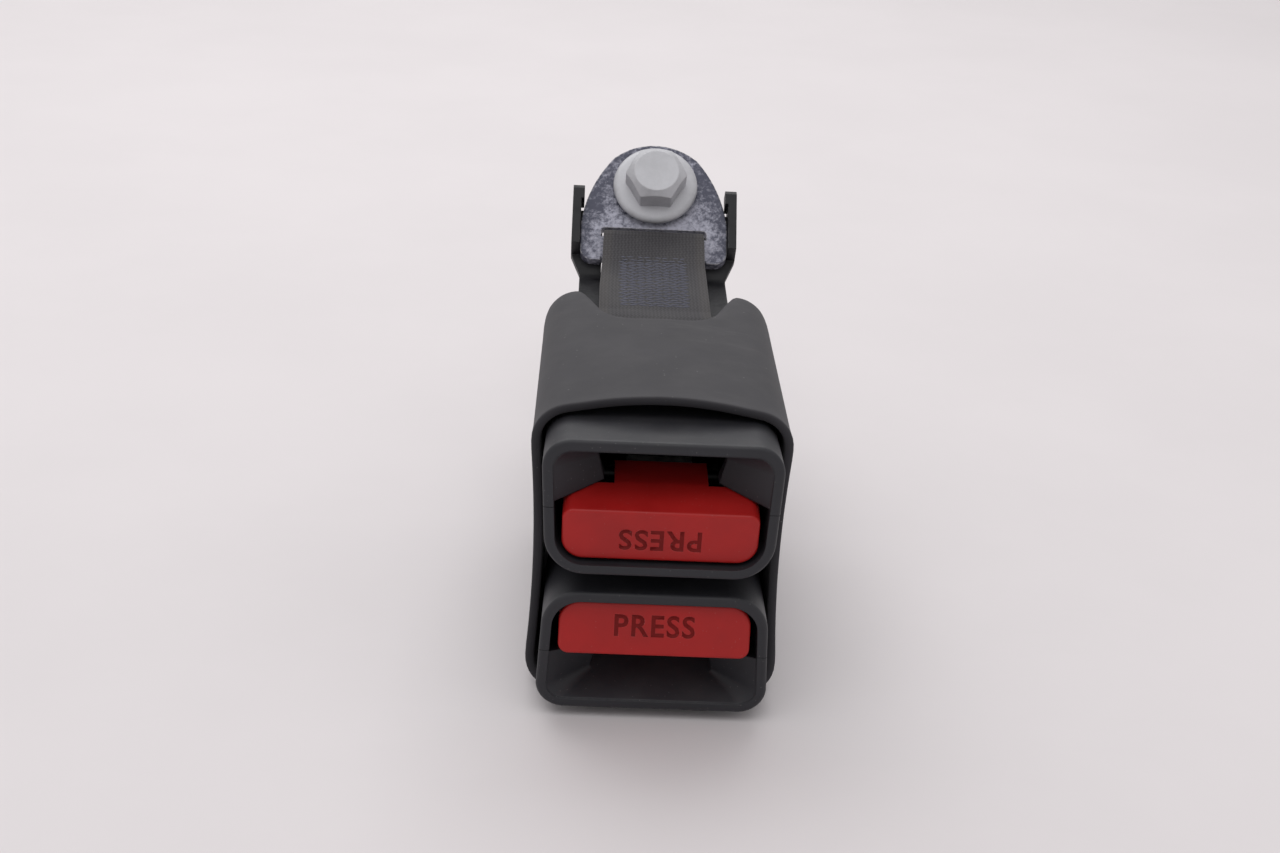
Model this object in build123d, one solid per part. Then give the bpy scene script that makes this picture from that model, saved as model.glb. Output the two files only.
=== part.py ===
from build123d import *
import math
import os

# Double rear-seat belt buckle: two push-button buckles stacked back to back in one rubber boot, on a
# webbing loop that carries a bolted anchor plate.
#
# Part frame: X across, +Y from the buckle mouths to the anchor, +Z up, boot underside on Z = 0.
# Each buckle is drawn once in its own frame: X across, +Y from mouth to tail, +Z towards the tongue
# slot, origin in the middle of the mouth. The upper one stands that way up, the lower one is turned
# half a turn about Y, so that the two red buttons lie next to each other.

# ------------------------------------------------------------------ driving dimensions, mm
# Housing (both buckles)
HOUSING_T = 29.2            # thickness at the mouth
SLOT_SIDE_W = 49.6          # width on the tongue-slot side
BUTTON_SIDE_W = 46.4        # width on the button side
SLOT_SIDE_R = 6.0           # corner radius, tongue-slot side
BUTTON_SIDE_R = 8.5         # corner radius, button side
TAIL_DROP = 3.0             # fall of the slot side from mouth to tail
TAIL_NARROW = 1.0           # each side, from mouth to tail
MOUTH_SETBACK = 2.4         # slot-side rim lies this much deeper than the button-side rim
WALL = 2.2
RIM_R = 0.9
TAIL_R = 1.0
SEAM_GAP = 0.12             # joint line between the two covers
HOUSING_TAIL_ROOM = 3.4     # between the frame's base plate and the rear wall
LIP_OVER = 0.6              # the rim's slot side reaches this far over the funnel's start
FUNNEL_IN = 0.3             # the funnel starts this far inside the rim
RIB_IN = 6.0                # the slot cover's ribs stand this far inside the frame's width

# Tongue funnel and throat
TONGUE_W = 23.0
TONGUE_T = 3.0
TONGUE_SIDE_ROOM = 0.2      # in the throat, each side, next to the button
TONGUE_HEIGHT_ROOM = 1.0    # in the throat, above and below
THROAT_W = 26.6             # on the slot side
THROAT_CORNER_R = 0.8
THROAT_Y = 10.0             # depth at which the funnel ends
THROAT_END_Y = 14.5
THROAT_TOP = 9.0            # slot-side edge of the funnel's inner end

# Button
BUTTON_W = 40.0
BUTTON_H = 11.6
BUTTON_RIDGE_Y = 0.4        # the ridge between the pressing face and the ramp
BUTTON_FOOT_Y = 2.0         # the far edge of the pressing face
BUTTON_DEPTH = 9.5
BUTTON_WALL = 1.8
BUTTON_FOOT_R = 4.5
BUTTON_RIDGE_CORNER_R = 2.2
BUTTON_EDGE_R = 0.6
BUTTON_ROOF_T = 1.0         # above the button's hollow
RAMP_RISE = 2.2             # the ramp climbs by this much to the neck
NECK_W = 19.3
NECK_T = 1.8
NECK_OVERLAP = 1.5          # the neck starts this far inside the pad
NECK_END_Y = 20.2
BUTTON_TRAVEL = 6.3
CHEEK_CLEARANCE = 0.4       # between the ramp and the funnel cheeks above it

# Steel frame
STEEL_T = 2.4
FRAME_W = 35.0
FRAME_FRONT_Y = 14.8
FRAME_REAR_Y = 64.4
FRAME_INNER_Z = 7.0         # tongue side of the base plate
FRAME_WALL_FRONT_Y = 17.0
FRAME_WALL_CUT = 9.0        # the walls' slanted front corner, along Y
FRAME_WALL_REAR_Y = 60.0
FRAME_WALL_BOTTOM_Z = -9.0
FRAME_BEND_R = 1.8
SPRING_TAB_W = 14.0
SPRING_TAB_BOTTOM_Z = 1.6
TAIL_MARGIN = 3.2           # beside the webbing, each side
TAIL_REACH = 8.0            # the frame's tail stands this far out of the housing
TAIL_BAR_W = 3.8            # along Y
TAIL_SLOT_L = 3.2
TAIL_CORNER_R = 3.0
TAIL_SLOT_MARGIN = 0.6      # beside the webbing, each side

# Ejector and its spring
EJECTOR_FRONT_Y = 23.0
EJECTOR_LEN = 10.0
EJECTOR_W = 22.0
EJECTOR_BOTTOM_Z = 3.3
EJECTOR_TRAVEL = 16.0
EJECTOR_TAB_W = 4.0
EJECTOR_TAB_L = 5.0
EJECTOR_SPRING_R = 2.4
EJECTOR_SPRING_Z = 4.4
PRONG_R = 1.3
PRONG_L = 5.5

# Latch, its pin and its spring
LATCH_PIVOT_Y = 52.0
LATCH_PIVOT_Z = -2.0
LATCH_PIN_R = 1.9
LATCH_BARREL_R = 3.4
LATCH_ARM_T = 2.5
LATCH_ARM_BOTTOM_Z = -4.0
LATCH_W = 26.0
LATCH_NOSE_W = 14.0
LATCH_NOSE_FRONT_Y = 27.0
LATCH_NOSE_L = 3.0
LATCH_NOSE_TOP_Z = 0.0
LATCH_SHOULDER_Y = 36.0
LATCH_SPRING_Y = 42.7
LATCH_SPRING_R = 2.4
LATCH_CUP_WALL = 1.3
LATCH_CUP_DEPTH = 1.2
LATCH_FOOT_LIFT = 0.4       # the spring's foot above the cover's floor

# Lock bar, carried by the two button legs in the frame's slots
LOCK_BAR_R = 1.75
LOCK_BAR_Y = 31.0
LOCK_BAR_Z = -6.1
LEG_T = 1.6
LEG_H = 5.0
LEG_BEYOND = 3.0            # the legs end this far behind the lock bar's middle
BAR_CHAMFER = 0.4

# Button springs
BUTTON_SPRING_R = 2.4
BUTTON_SPRING_X = 11.5
BUTTON_SPRING_Z = -7.2
SPRING_SEAT_Y = 24.0
SPRING_SEAT_T = 2.0
SPRING_SEAT_W = 6.5
SPRING_SEAT_RISE = 2.0      # above the springs' middle
SPRING_WIRE = 0.7

# Clearances
RUN_CLEARANCE = 0.06        # pins in their holes
SLIDE_CLEARANCE = 0.3       # sliding and seated pieces
RIB_T = 1.6

# Stack of the two buckles in the boot
BUCKLE_PITCH = 34.4
LOWER_SETBACK = 2.0
BOOT_CLEARANCE = 0.35       # between the boot's wall and the housings
BOOT_FRONT_Y = 15.0
BOOT_REAR_ROOM = 25.0       # from the housings' rear to the boot's
BOOT_WALL = 1.9
BOOT_CORNER_R = 8.2
BOOT_WAIST = 1.2
BOOT_SIDE_TAPER = 0.2       # each side, from front to rear
BOOT_SHOULDER_FALL = 3.3    # fall of the top from front to rear
BOOT_FRONT_CROWN = 2.3      # the front lip stands in an arch over the upper housing
BOOT_REAR_CROWN = 1.0
BOOT_REAR_WALL = 3.0
BOOT_REAR_R = 5.5
BOOT_REAR_STEPS = 5
BOOT_WEB_T = 4.6
BOOT_WEB_FRONT_Y = 27.0
BOOT_WEB_REAR_IN = 8.0      # the web ends this far in front of the housings' rear
BOOT_OPENING_MARGIN = 5.5   # beside the webbing, each side
BOOT_OPENING_SILL = 6.0
BOOT_TOP_ROOM = 0.2         # between the boot's roof and the upper housing
BOOT_LIP_SHARE = 0.45       # of the wall, rounded at the front lip
NOTCH_INNER_MARGIN = -2.0   # beside the webbing, each side, at the notch's bottom
NOTCH_OUTER_MARGIN = 6.5    # and at the boot's rear
NOTCH_OVERLAP = 1.6         # the notch reaches this far over the upper housing
NOTCH_R = 8.0

# Webbing
WEB_W = 26.0
WEB_T = 1.2
WEB_SEWN_T = 2.6            # two plies sewn together
SEWN_ROOM = 16.0            # from the frame's tail to the sewn stretch
SEWN_TO_BAR = 45.08         # from there to the anchor plate's bar
PIVOT_RISE = 7.04           # the bar's height above the middle of the upper buckle
PIVOT_EYE_R = 4.05
PIVOT_EYE_TAIL = 12.0
TAIL_EYE_R = 2.45
TAIL_EYE_TAIL = 7.0
UPPER_PLY_T = 1.8
UPPER_PLY_R = 2.0
UPPER_PLY_OFFSET = 0.4      # from the sewn stretch's middle
LOWER_PLY_T = 1.6
LOWER_PLY_R = 5.0
LOWER_PLY_OFFSET = -0.5
LOWER_PLY_IN = 7.0          # the lower ply falls this far in front of the sewn stretch
LOWER_PLY_LEAN = 5.0

# Anchor plate, drawn flat: X across, Y up the plate from the bar's middle, Z out of its face
ANCHOR_TILT_DEG = 44.0
ANCHOR_T = 3.0
ANCHOR_EDGE = 5.4           # plate beside the slot, each side
ANCHOR_BAR_W = 7.5
ANCHOR_SLOT_L = 2.0
ANCHOR_SLOT_R = 0.9
ANCHOR_SLOT_MARGIN = 0.8    # beside the webbing, each side
ANCHOR_HOLE_Y = 17.8
ANCHOR_TOP_Y = 30.8
ANCHOR_SHOULDER_X = 10.3    # small corners beside the top arc
ANCHOR_SHOULDER_Y = 27.1
ANCHOR_SHOULDER_CUT = 0.6
ANCHOR_FLANK_IN = 3.3       # the flank's middle lies this far inside the widest part
ANCHOR_FLANK_Y = 18.8
ANCHOR_SIDE_TOP_Y = 7.0
ANCHOR_LOWER_R = 3.2
ANCHOR_EDGE_R = 1.35        # the bar's rounded edges

# Bracket under the anchor plate
BRACKET_T = 2.4
BRACKET_GAP = 0.15          # beside the plate's edges
EAR_T = 2.2
EAR_HEAD_T = 3.0            # the ear's thicker end
EAR_HEAD_Y = 12.8
EAR_ROOT_Y = 12.0           # the ear stands free of the base from here on
EAR_FOOT_Y = -1.0
EAR_TOP_Y = 17.3
EAR_CUT = 1.5               # slanted corner at the ear's end
EAR_LAP = 0.4
EAR_RISE = 4.2              # above the middle of the anchor plate
BRACKET_REAR_Y = 25.5
BRACKET_REAR_R = 5.0
BRACKET_FRONT_Y = 7.6       # edge of the base behind the webbing slot
BRACKET_ROOT_IN = 2.6       # the base behind the ears lies this far inside the plate's widest part
BRACKET_REAR_IN = 8.7       # and its rear edge this far, each side
ARM_MARGIN = 0.5            # beside the webbing, each side
ARM_W = 5.6
ARM_BEND_Y = -6.7
ARM_BEND_R = 4.0
ARM_BEND_LEAD = 1.5         # from the base's edge to the bend's corner
ARM_LEN = 26.0
ARM_ROOT = 3.0              # the arm starts this far inside the base

# Anchor bolt and washers
BOLT_R = 5.56               # threaded stretch, 7/16 in
BOLT_NECK_R = 6.3           # plain shoulder inside the washers, plate and bracket
BOLT_HOLE_CLEARANCE = 0.08  # round the shoulder
BOLT_FLANGE_R = 11.1
BOLT_FLANGE_T = 2.0
HEX_AF = 14.0
HEX_H = 7.0
HEX_CHAMFER_DEG = 30.0
BOLT_SHANK = 24.0           # from the underside of the flange
PILOT_R = 4.2
PILOT_L = 3.0
PILOT_TAPER = 0.6
FLANGE_TAPER = 0.9
HEX_CROWN_IN = 0.3          # the crown's flat ends this far inside the flats
NECK_BEYOND = 0.2           # the shoulder ends this far below the keeper washer
SPRING_WASHER_R = 10.2
SPRING_WASHER_T = 1.2
KEEPER_R = 9.0
KEEPER_T = 0.8

# Length of a cut or block that has to reach past the whole part
BEYOND = 200.0
# Overlap of shapes that are joined or cut
LAP = 0.1

# ------------------------------------------------------------------ worked-out sizes and places
HOUSING_LEN = FRAME_REAR_Y + HOUSING_TAIL_ROOM + WALL
THROAT_LOW_W = TONGUE_W + 2 * TONGUE_SIDE_ROOM
THROAT_END_TOP = RAMP_RISE + TONGUE_T + 2 * TONGUE_HEIGHT_ROOM
TAIL_END_Y = HOUSING_LEN + TAIL_REACH
BOOT_REAR_Y = HOUSING_LEN + BOOT_REAR_ROOM
BOOT_WEB_REAR_Y = HOUSING_LEN - BOOT_WEB_REAR_IN
NOTCH_Y = HOUSING_LEN - NOTCH_OVERLAP
SEWN_FRONT_Y = TAIL_END_Y + SEWN_ROOM
PIVOT_Y = SEWN_FRONT_Y + SEWN_TO_BAR
BOOT_W = SLOT_SIDE_W + 2 * (BOOT_WALL + BOOT_CLEARANCE)
BOOT_OPENING_W = WEB_W + 2 * BOOT_OPENING_MARGIN
NOTCH_INNER_W = WEB_W + 2 * NOTCH_INNER_MARGIN
NOTCH_OUTER_W = WEB_W + 2 * NOTCH_OUTER_MARGIN
TAIL_W = WEB_W + 2 * TAIL_MARGIN
ANCHOR_SLOT_W = WEB_W + 2 * ANCHOR_SLOT_MARGIN
ANCHOR_W = ANCHOR_SLOT_W + 2 * ANCHOR_EDGE
ARM_INNER_X = WEB_W / 2 + ARM_MARGIN
ARM_OUTER_X = ARM_INNER_X + ARM_W
FRAME_OUTER_Z = FRAME_INNER_Z + STEEL_T
FRAME_WALL_X = FRAME_W / 2 - STEEL_T / 2
LOWER_MID_Z = HOUSING_T / 2 + BOOT_WALL + BOOT_CLEARANCE
UPPER_MID_Z = LOWER_MID_Z + BUCKLE_PITCH
BOOT_MID_Z = (LOWER_MID_Z + UPPER_MID_Z) / 2
BOOT_TOP_Z = UPPER_MID_Z + HOUSING_T / 2 + BOOT_WALL + BOOT_TOP_ROOM
PIVOT_Z = UPPER_MID_Z + PIVOT_RISE
TAIL_BAR_Y = TAIL_END_Y - TAIL_BAR_W / 2
TAIL_BAR_Z = FRAME_INNER_Z + STEEL_T / 2
ANCHOR_FACE = ANCHOR_T / 2
WASHER_TOP = ANCHOR_FACE + SPRING_WASHER_T
BRACKET_BOTTOM = -ANCHOR_FACE - BRACKET_T
BOLT_HOLE_R = BOLT_NECK_R + BOLT_HOLE_CLEARANCE
NECK_END_Z = BRACKET_BOTTOM - KEEPER_T - NECK_BEYOND

UPPER = Pos(0, 0, UPPER_MID_Z)
LOWER = Pos(0, LOWER_SETBACK, LOWER_MID_Z) * Rot(0, 180, 0)
ANCHOR = Pos(0, PIVOT_Y, PIVOT_Z) * Rot(ANCHOR_TILT_DEG, 0, 0)


# ------------------------------------------------------------------ small helpers
def block(x0, x1, y0, y1, z0, z1):
    """A box between two corners."""
    return Pos((x0 + x1) / 2, (y0 + y1) / 2, (z0 + z1) / 2) * Box(x1 - x0, y1 - y0, z1 - z0)


def rod_x(radius, half_length, y, z):
    """A round bar across the part."""
    return Pos(0, y, z) * Rot(0, 90, 0) * Cylinder(radius, 2 * half_length)


def rod_y(radius, y0, y1, x, z):
    """A round bar from front to back."""
    return Pos(x, (y0 + y1) / 2, z) * Rot(90, 0, 0) * Cylinder(radius, y1 - y0)


def across(profile, half_width):
    """A profile drawn as (Y, Z), carried to half_width on both sides of the middle."""
    return extrude(Plane.YZ * profile, half_width, both=True)


def polygon(points):
    return make_face(Polyline(*points, close=True))


def both_sides(shape):
    return shape + mirror(shape, about=Plane.YZ)


def spread(start, end, share):
    return start + (end - start) * share


# ------------------------------------------------------------------ buckle housing
def housing_half_width(y, z):
    """Half the housing's sharp-cornered width at depth y and height z."""
    flare = (SLOT_SIDE_W - BUTTON_SIDE_W) / 2
    return BUTTON_SIDE_W / 2 + flare * (z / HOUSING_T + 0.5) - TAIL_NARROW * y / HOUSING_LEN


def housing_body(y0, y1, inset=0.0):
    """The housing's solid form between two depths: flat flanks and round corners, drawn inwards by inset."""
    body = block(-SLOT_SIDE_W, SLOT_SIDE_W, y0, y1, -HOUSING_T / 2 + inset, HOUSING_T)
    roof = Plane(origin=(0, 0, HOUSING_T / 2 - inset), x_dir=(1, 0, 0), z_dir=(0, TAIL_DROP, HOUSING_LEN))
    lean = (SLOT_SIDE_W - BUTTON_SIDE_W) / 2 / HOUSING_T
    flank = Plane(origin=(housing_half_width(0, 0) - inset, 0, 0), x_dir=(0, 0, 1),
                  z_dir=(1, TAIL_NARROW / HOUSING_LEN, -lean))
    body = split(body, roof, keep=Keep.BOTTOM)
    body = split(body, flank, keep=Keep.BOTTOM)
    body = split(body, mirrored_plane(flank), keep=Keep.BOTTOM)
    long_edges = [e for e in body.edges() if abs(e.tangent_at(0.5).Y) > 0.9]
    body = fillet([e for e in long_edges if e.center().Z < 0], BUTTON_SIDE_R - inset)
    long_edges = [e for e in body.edges() if abs(e.tangent_at(0.5).Y) > 0.9]
    return fillet(ShapeList(long_edges).sort_by(Axis.Z)[-2:], SLOT_SIDE_R - inset)


def mirrored_plane(plane):
    """The same plane on the other side of the middle."""
    normal = plane.z_dir
    return Plane(origin=(-plane.origin.X, plane.origin.Y, plane.origin.Z), x_dir=(0, 0, 1),
                 z_dir=(-normal.X, normal.Y, normal.Z))


def mouth_plane(depth=0.0):
    """The slanted plane of the mouth's rim: deeper on the slot side."""
    return Plane(origin=(0, MOUTH_SETBACK / 2 + depth, 0), x_dir=(1, 0, 0),
                 z_dir=(0, HOUSING_T, -MOUTH_SETBACK))


def ramp_z(y):
    """Height of the button's ramp at depth y, level once it reaches the neck."""
    return RAMP_RISE * min(1.0, max(0.0, (y - BUTTON_RIDGE_Y) / (THROAT_Y - BUTTON_RIDGE_Y)))


def funnel_opening(y, half_width, low_half_width, top, corner):
    """One cross-section of the funnel, low_half_width at the ramp's height and open down to the button."""
    bottom = -RAMP_RISE
    foot = spread(low_half_width, half_width, (bottom - RAMP_RISE) / (top - RAMP_RISE))
    face = polygon([(-foot, bottom), (foot, bottom), (half_width, top), (-half_width, top)])
    face = fillet([v for v in face.vertices() if v.Y > 0], corner)
    return Plane.XZ.offset(-y) * face


def funnel_void():
    """The space a tongue is led through: mouth, funnel and throat."""
    mouth_y = MOUTH_SETBACK - LIP_OVER
    half = SLOT_SIDE_W / 2 - WALL
    top = HOUSING_T / 2 - WALL - LAP
    low = THROAT_LOW_W / 2
    mouth = funnel_opening(mouth_y, half, half, top, SLOT_SIDE_R - WALL)
    inner = funnel_opening(THROAT_Y, THROAT_W / 2, low, THROAT_TOP, THROAT_CORNER_R)
    end = funnel_opening(THROAT_END_Y + LAP, THROAT_W / 2, low, THROAT_END_TOP, THROAT_CORNER_R)
    lead = block(-half, half, -WALL, mouth_y, -RAMP_RISE, top)
    return lead + loft([mouth, inner], ruled=True) + loft([inner, end], ruled=True)


def funnel_block():
    """The solid the funnel is cut from: it bridges the slot side above the button's ramp."""
    floor = CHEEK_CLEARANCE
    start = MOUTH_SETBACK / 2
    side = polygon([(start, ramp_z(start) + floor), (THROAT_Y, RAMP_RISE + floor),
                    (THROAT_END_Y, RAMP_RISE + floor), (THROAT_END_Y, HOUSING_T / 2),
                    (start, HOUSING_T / 2)])
    return across(side, SLOT_SIDE_W / 2)


def housing_shell():
    """Both covers in one piece, before they are parted."""
    outer = housing_body(0, HOUSING_LEN)
    outer = fillet(outer.faces().sort_by(Axis.Y)[-1].edges(), TAIL_R)
    outer = split(outer, mouth_plane(), keep=Keep.TOP)
    outer = fillet(outer.faces().filter_by(mouth_plane()).edges(), RIM_R)
    cavity = housing_body(-HOUSING_T, HOUSING_LEN - WALL, WALL)
    shell = outer - cavity
    funnel = (funnel_block() & housing_body(0, HOUSING_LEN - WALL, WALL - LAP)) - funnel_void()
    funnel = split(funnel, mouth_plane(FUNNEL_IN), keep=Keep.TOP)
    return shell + funnel


def slot_cover(shell):
    """The slot-side cover: rim, funnel, ribs that seat on the frame and the way out for its tail."""
    upper = shell & block(-BEYOND, BEYOND, -BEYOND, BEYOND, SEAM_GAP / 2, BEYOND)
    rib_room = housing_body(0, HOUSING_LEN - WALL, WALL - LAP)
    rib = block(FRAME_W / 2 - RIB_IN, FRAME_W / 2 - RIB_IN + RIB_T, THROAT_END_Y - 2 * LAP, FRAME_REAR_Y,
                FRAME_OUTER_Z + SLIDE_CLEARANCE / 2, HOUSING_T / 2)
    upper = upper + both_sides(rib & rib_room)
    tail_way = block(-TAIL_W / 2 - SLIDE_CLEARANCE, TAIL_W / 2 + SLIDE_CLEARANCE, HOUSING_LEN - 2 * WALL,
                     BEYOND, 0, FRAME_OUTER_Z + SLIDE_CLEARANCE)
    return upper - tail_way


def button_cover(shell):
    """The button-side cover: rim, seats for the button springs and ribs under the frame's walls."""
    lower = shell & block(-BEYOND, BEYOND, -BEYOND, BEYOND, -BEYOND, -SEAM_GAP / 2)
    floor = -HOUSING_T / 2 + WALL / 2
    cup_r = LATCH_SPRING_R + SLIDE_CLEARANCE
    seat = block(BUTTON_SPRING_X - SPRING_SEAT_W / 2, BUTTON_SPRING_X + SPRING_SEAT_W / 2, SPRING_SEAT_Y,
                 SPRING_SEAT_Y + SPRING_SEAT_T, floor, BUTTON_SPRING_Z + SPRING_SEAT_RISE)
    rib = block(FRAME_WALL_X - RIB_T / 2, FRAME_WALL_X + RIB_T / 2,
                LATCH_SHOULDER_Y, FRAME_WALL_REAR_Y - RIB_T,
                floor, FRAME_WALL_BOTTOM_Z - SLIDE_CLEARANCE / 2)
    cup = Pos(0, LATCH_SPRING_Y, (floor + latch_spring_foot()) / 2) * (
        Cylinder(cup_r + LATCH_CUP_WALL, latch_spring_foot() - floor + LATCH_CUP_DEPTH)
        - Pos(0, 0, (latch_spring_foot() - floor) / 2) * Cylinder(cup_r, LATCH_CUP_DEPTH))
    return lower + both_sides(seat + rib) + (cup & housing_body(0, HOUSING_LEN, WALL / 2))


def latch_spring_foot():
    """Height of the latch spring's lower end."""
    return -HOUSING_T / 2 + WALL + LATCH_FOOT_LIFT


# ------------------------------------------------------------------ button, bar and springs
def button():
    """The red button: hollow pad with a pressing face and a ramp, neck and two legs."""
    face = polygon([(-BUTTON_W / 2, -BUTTON_H), (BUTTON_W / 2, -BUTTON_H), (BUTTON_W / 2, RAMP_RISE),
                    (-BUTTON_W / 2, RAMP_RISE)])
    face = fillet([v for v in face.vertices() if v.Y < 0], BUTTON_FOOT_R)
    front = extrude(Plane.XZ * face, -BUTTON_DEPTH - 1)
    side = polygon([(BUTTON_RIDGE_Y, 0), (BUTTON_FOOT_Y, -BUTTON_H - 1), (BUTTON_DEPTH, -BUTTON_H - 1),
                    (BUTTON_DEPTH, ramp_z(BUTTON_DEPTH))])
    pad = front & across(side, BUTTON_W)
    ends = [e for e in pad.edges() if abs(abs(e.center().X) - BUTTON_W / 2) < 0.2
            and e.center().Y < BUTTON_DEPTH - 0.5 and e.center().Z > 0]
    pad = fillet(ends, BUTTON_RIDGE_CORNER_R)
    rims = [e for e in pad.edges() if e.center().Y < BUTTON_DEPTH - 1.0 and abs(e.center().Z) < BUTTON_H + 1
            and e.center().Y < BUTTON_FOOT_Y + 0.2]
    pad = fillet(rims, BUTTON_EDGE_R)
    room = BUTTON_W / 2 - 2 * BUTTON_WALL
    inner = block(-room, room, BUTTON_FOOT_Y + BUTTON_WALL, BUTTON_DEPTH + 1,
                  -BUTTON_H + BUTTON_WALL, -BUTTON_ROOF_T)
    start = BUTTON_DEPTH - NECK_OVERLAP
    neck = polygon([(start, RAMP_RISE - NECK_T), (start, ramp_z(start)),
                    (THROAT_Y, RAMP_RISE), (NECK_END_Y, RAMP_RISE), (NECK_END_Y, RAMP_RISE - NECK_T)])
    leg_x = FRAME_W / 2 + SLIDE_CLEARANCE
    leg = block(leg_x, leg_x + LEG_T, start, LOCK_BAR_Y + LEG_BEYOND, LOCK_BAR_Z - LEG_H / 2,
                LOCK_BAR_Z + LEG_H / 2)
    body = (pad - inner) + across(neck, NECK_W / 2) + both_sides(leg)
    return body - rod_x(LOCK_BAR_R + RUN_CLEARANCE, BUTTON_W, LOCK_BAR_Y, LOCK_BAR_Z)


def lock_bar():
    bar = rod_x(LOCK_BAR_R, FRAME_W / 2 + SLIDE_CLEARANCE + LEG_T, LOCK_BAR_Y, LOCK_BAR_Z)
    return chamfer_ends(bar, BAR_CHAMFER)


def chamfer_ends(bar, size):
    """Breaks both end edges of a round bar."""
    return chamfer(bar.edges().filter_by(GeomType.CIRCLE), size)


def sleeve(radius, length):
    """The space a coil spring turns in: its outer and inner diameters and its length."""
    return Cylinder(radius, length) - Cylinder(radius - SPRING_WIRE, length)


def button_springs():
    """The pair of springs behind the button, from inside the pad to the seats on the cover."""
    front = BUTTON_FOOT_Y + BUTTON_WALL
    length = SPRING_SEAT_Y - front
    spring = Pos(BUTTON_SPRING_X, front + length / 2, BUTTON_SPRING_Z) * Rot(90, 0, 0) \
        * sleeve(BUTTON_SPRING_R, length)
    return both_sides(spring)


# ------------------------------------------------------------------ frame
def frame():
    """The steel channel: base plate, two side walls, spring tab and the tail the webbing loops through."""
    half = FRAME_W / 2
    tab_front = FRAME_REAR_Y - STEEL_T
    channel = polygon([(-half, FRAME_WALL_BOTTOM_Z), (-half, FRAME_OUTER_Z), (half, FRAME_OUTER_Z),
                       (half, FRAME_WALL_BOTTOM_Z), (half - STEEL_T, FRAME_WALL_BOTTOM_Z),
                       (half - STEEL_T, FRAME_INNER_Z), (-half + STEEL_T, FRAME_INNER_Z),
                       (-half + STEEL_T, FRAME_WALL_BOTTOM_Z)])
    channel = fillet([v for v in channel.vertices() if v.Y > FRAME_OUTER_Z - 0.1], FRAME_BEND_R)
    body = extrude(Plane.XZ.offset(-FRAME_FRONT_Y) * channel, -(FRAME_REAR_Y - FRAME_FRONT_Y))
    # the walls start behind the mouth and stop before the tail; their front corners are cut back
    cut_y = FRAME_WALL_FRONT_Y + FRAME_WALL_CUT
    wall_side = polygon([(0, FRAME_INNER_Z), (FRAME_WALL_FRONT_Y, FRAME_INNER_Z),
                         (FRAME_WALL_FRONT_Y, STEEL_T),
                         (cut_y, FRAME_WALL_BOTTOM_Z), (cut_y, -BEYOND), (0, -BEYOND)])
    body = body - across(wall_side, half + 1)
    body = body - block(-half - 1, half + 1, FRAME_WALL_REAR_Y, BEYOND, -BEYOND, FRAME_INNER_Z)
    body = body + block(-SPRING_TAB_W / 2, SPRING_TAB_W / 2, tab_front, FRAME_REAR_Y, SPRING_TAB_BOTTOM_Z,
                        FRAME_INNER_Z)
    body = body + rod_y(PRONG_R, tab_front - PRONG_L, tab_front, 0, EJECTOR_SPRING_Z)
    # windows in the base plate for the latch's nose and the ejector's tab
    body = body - block(-LATCH_NOSE_W / 2 - 1, LATCH_NOSE_W / 2 + 1, LATCH_NOSE_FRONT_Y - 1,
                        LATCH_NOSE_FRONT_Y + LATCH_NOSE_L + 3, 0, 20)
    slot_end = EJECTOR_FRONT_Y + EJECTOR_TRAVEL + EJECTOR_LEN + SLIDE_CLEARANCE
    body = body - block(-EJECTOR_TAB_W / 2 - SLIDE_CLEARANCE, EJECTOR_TAB_W / 2 + SLIDE_CLEARANCE,
                        LATCH_NOSE_FRONT_Y, slot_end, FRAME_INNER_Z, 20)
    # slots for the lock bar and holes for the latch pin in both walls
    bar_end = LOCK_BAR_Y + BUTTON_TRAVEL
    bar_r = LOCK_BAR_R + SLIDE_CLEARANCE
    body = body - block(-half - 1, half + 1, LOCK_BAR_Y, bar_end, LOCK_BAR_Z - bar_r, LOCK_BAR_Z + bar_r)
    for y in (LOCK_BAR_Y, bar_end):
        body = body - rod_x(bar_r, half + 1, y, LOCK_BAR_Z)
    body = body - rod_x(LATCH_PIN_R + RUN_CLEARANCE / 2, half + 1, LATCH_PIVOT_Y, LATCH_PIVOT_Z)
    return body + frame_tail()


def frame_tail():
    """The rear end of the base plate, with the slot and bar for the webbing."""
    half = TAIL_W / 2
    start = FRAME_REAR_Y - 2
    face = polygon([(-half, start), (half, start), (half, TAIL_END_Y), (-half, TAIL_END_Y)])
    face = fillet([v for v in face.vertices() if v.Y > TAIL_END_Y - 0.1], TAIL_CORNER_R)
    slot = Pos(0, TAIL_END_Y - TAIL_BAR_W - TAIL_SLOT_L / 2) * RectangleRounded(
        WEB_W + 2 * TAIL_SLOT_MARGIN, TAIL_SLOT_L, TAIL_SLOT_L * 0.4)
    return extrude(Plane.XY.offset(FRAME_INNER_Z) * (face - slot), STEEL_T)


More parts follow.
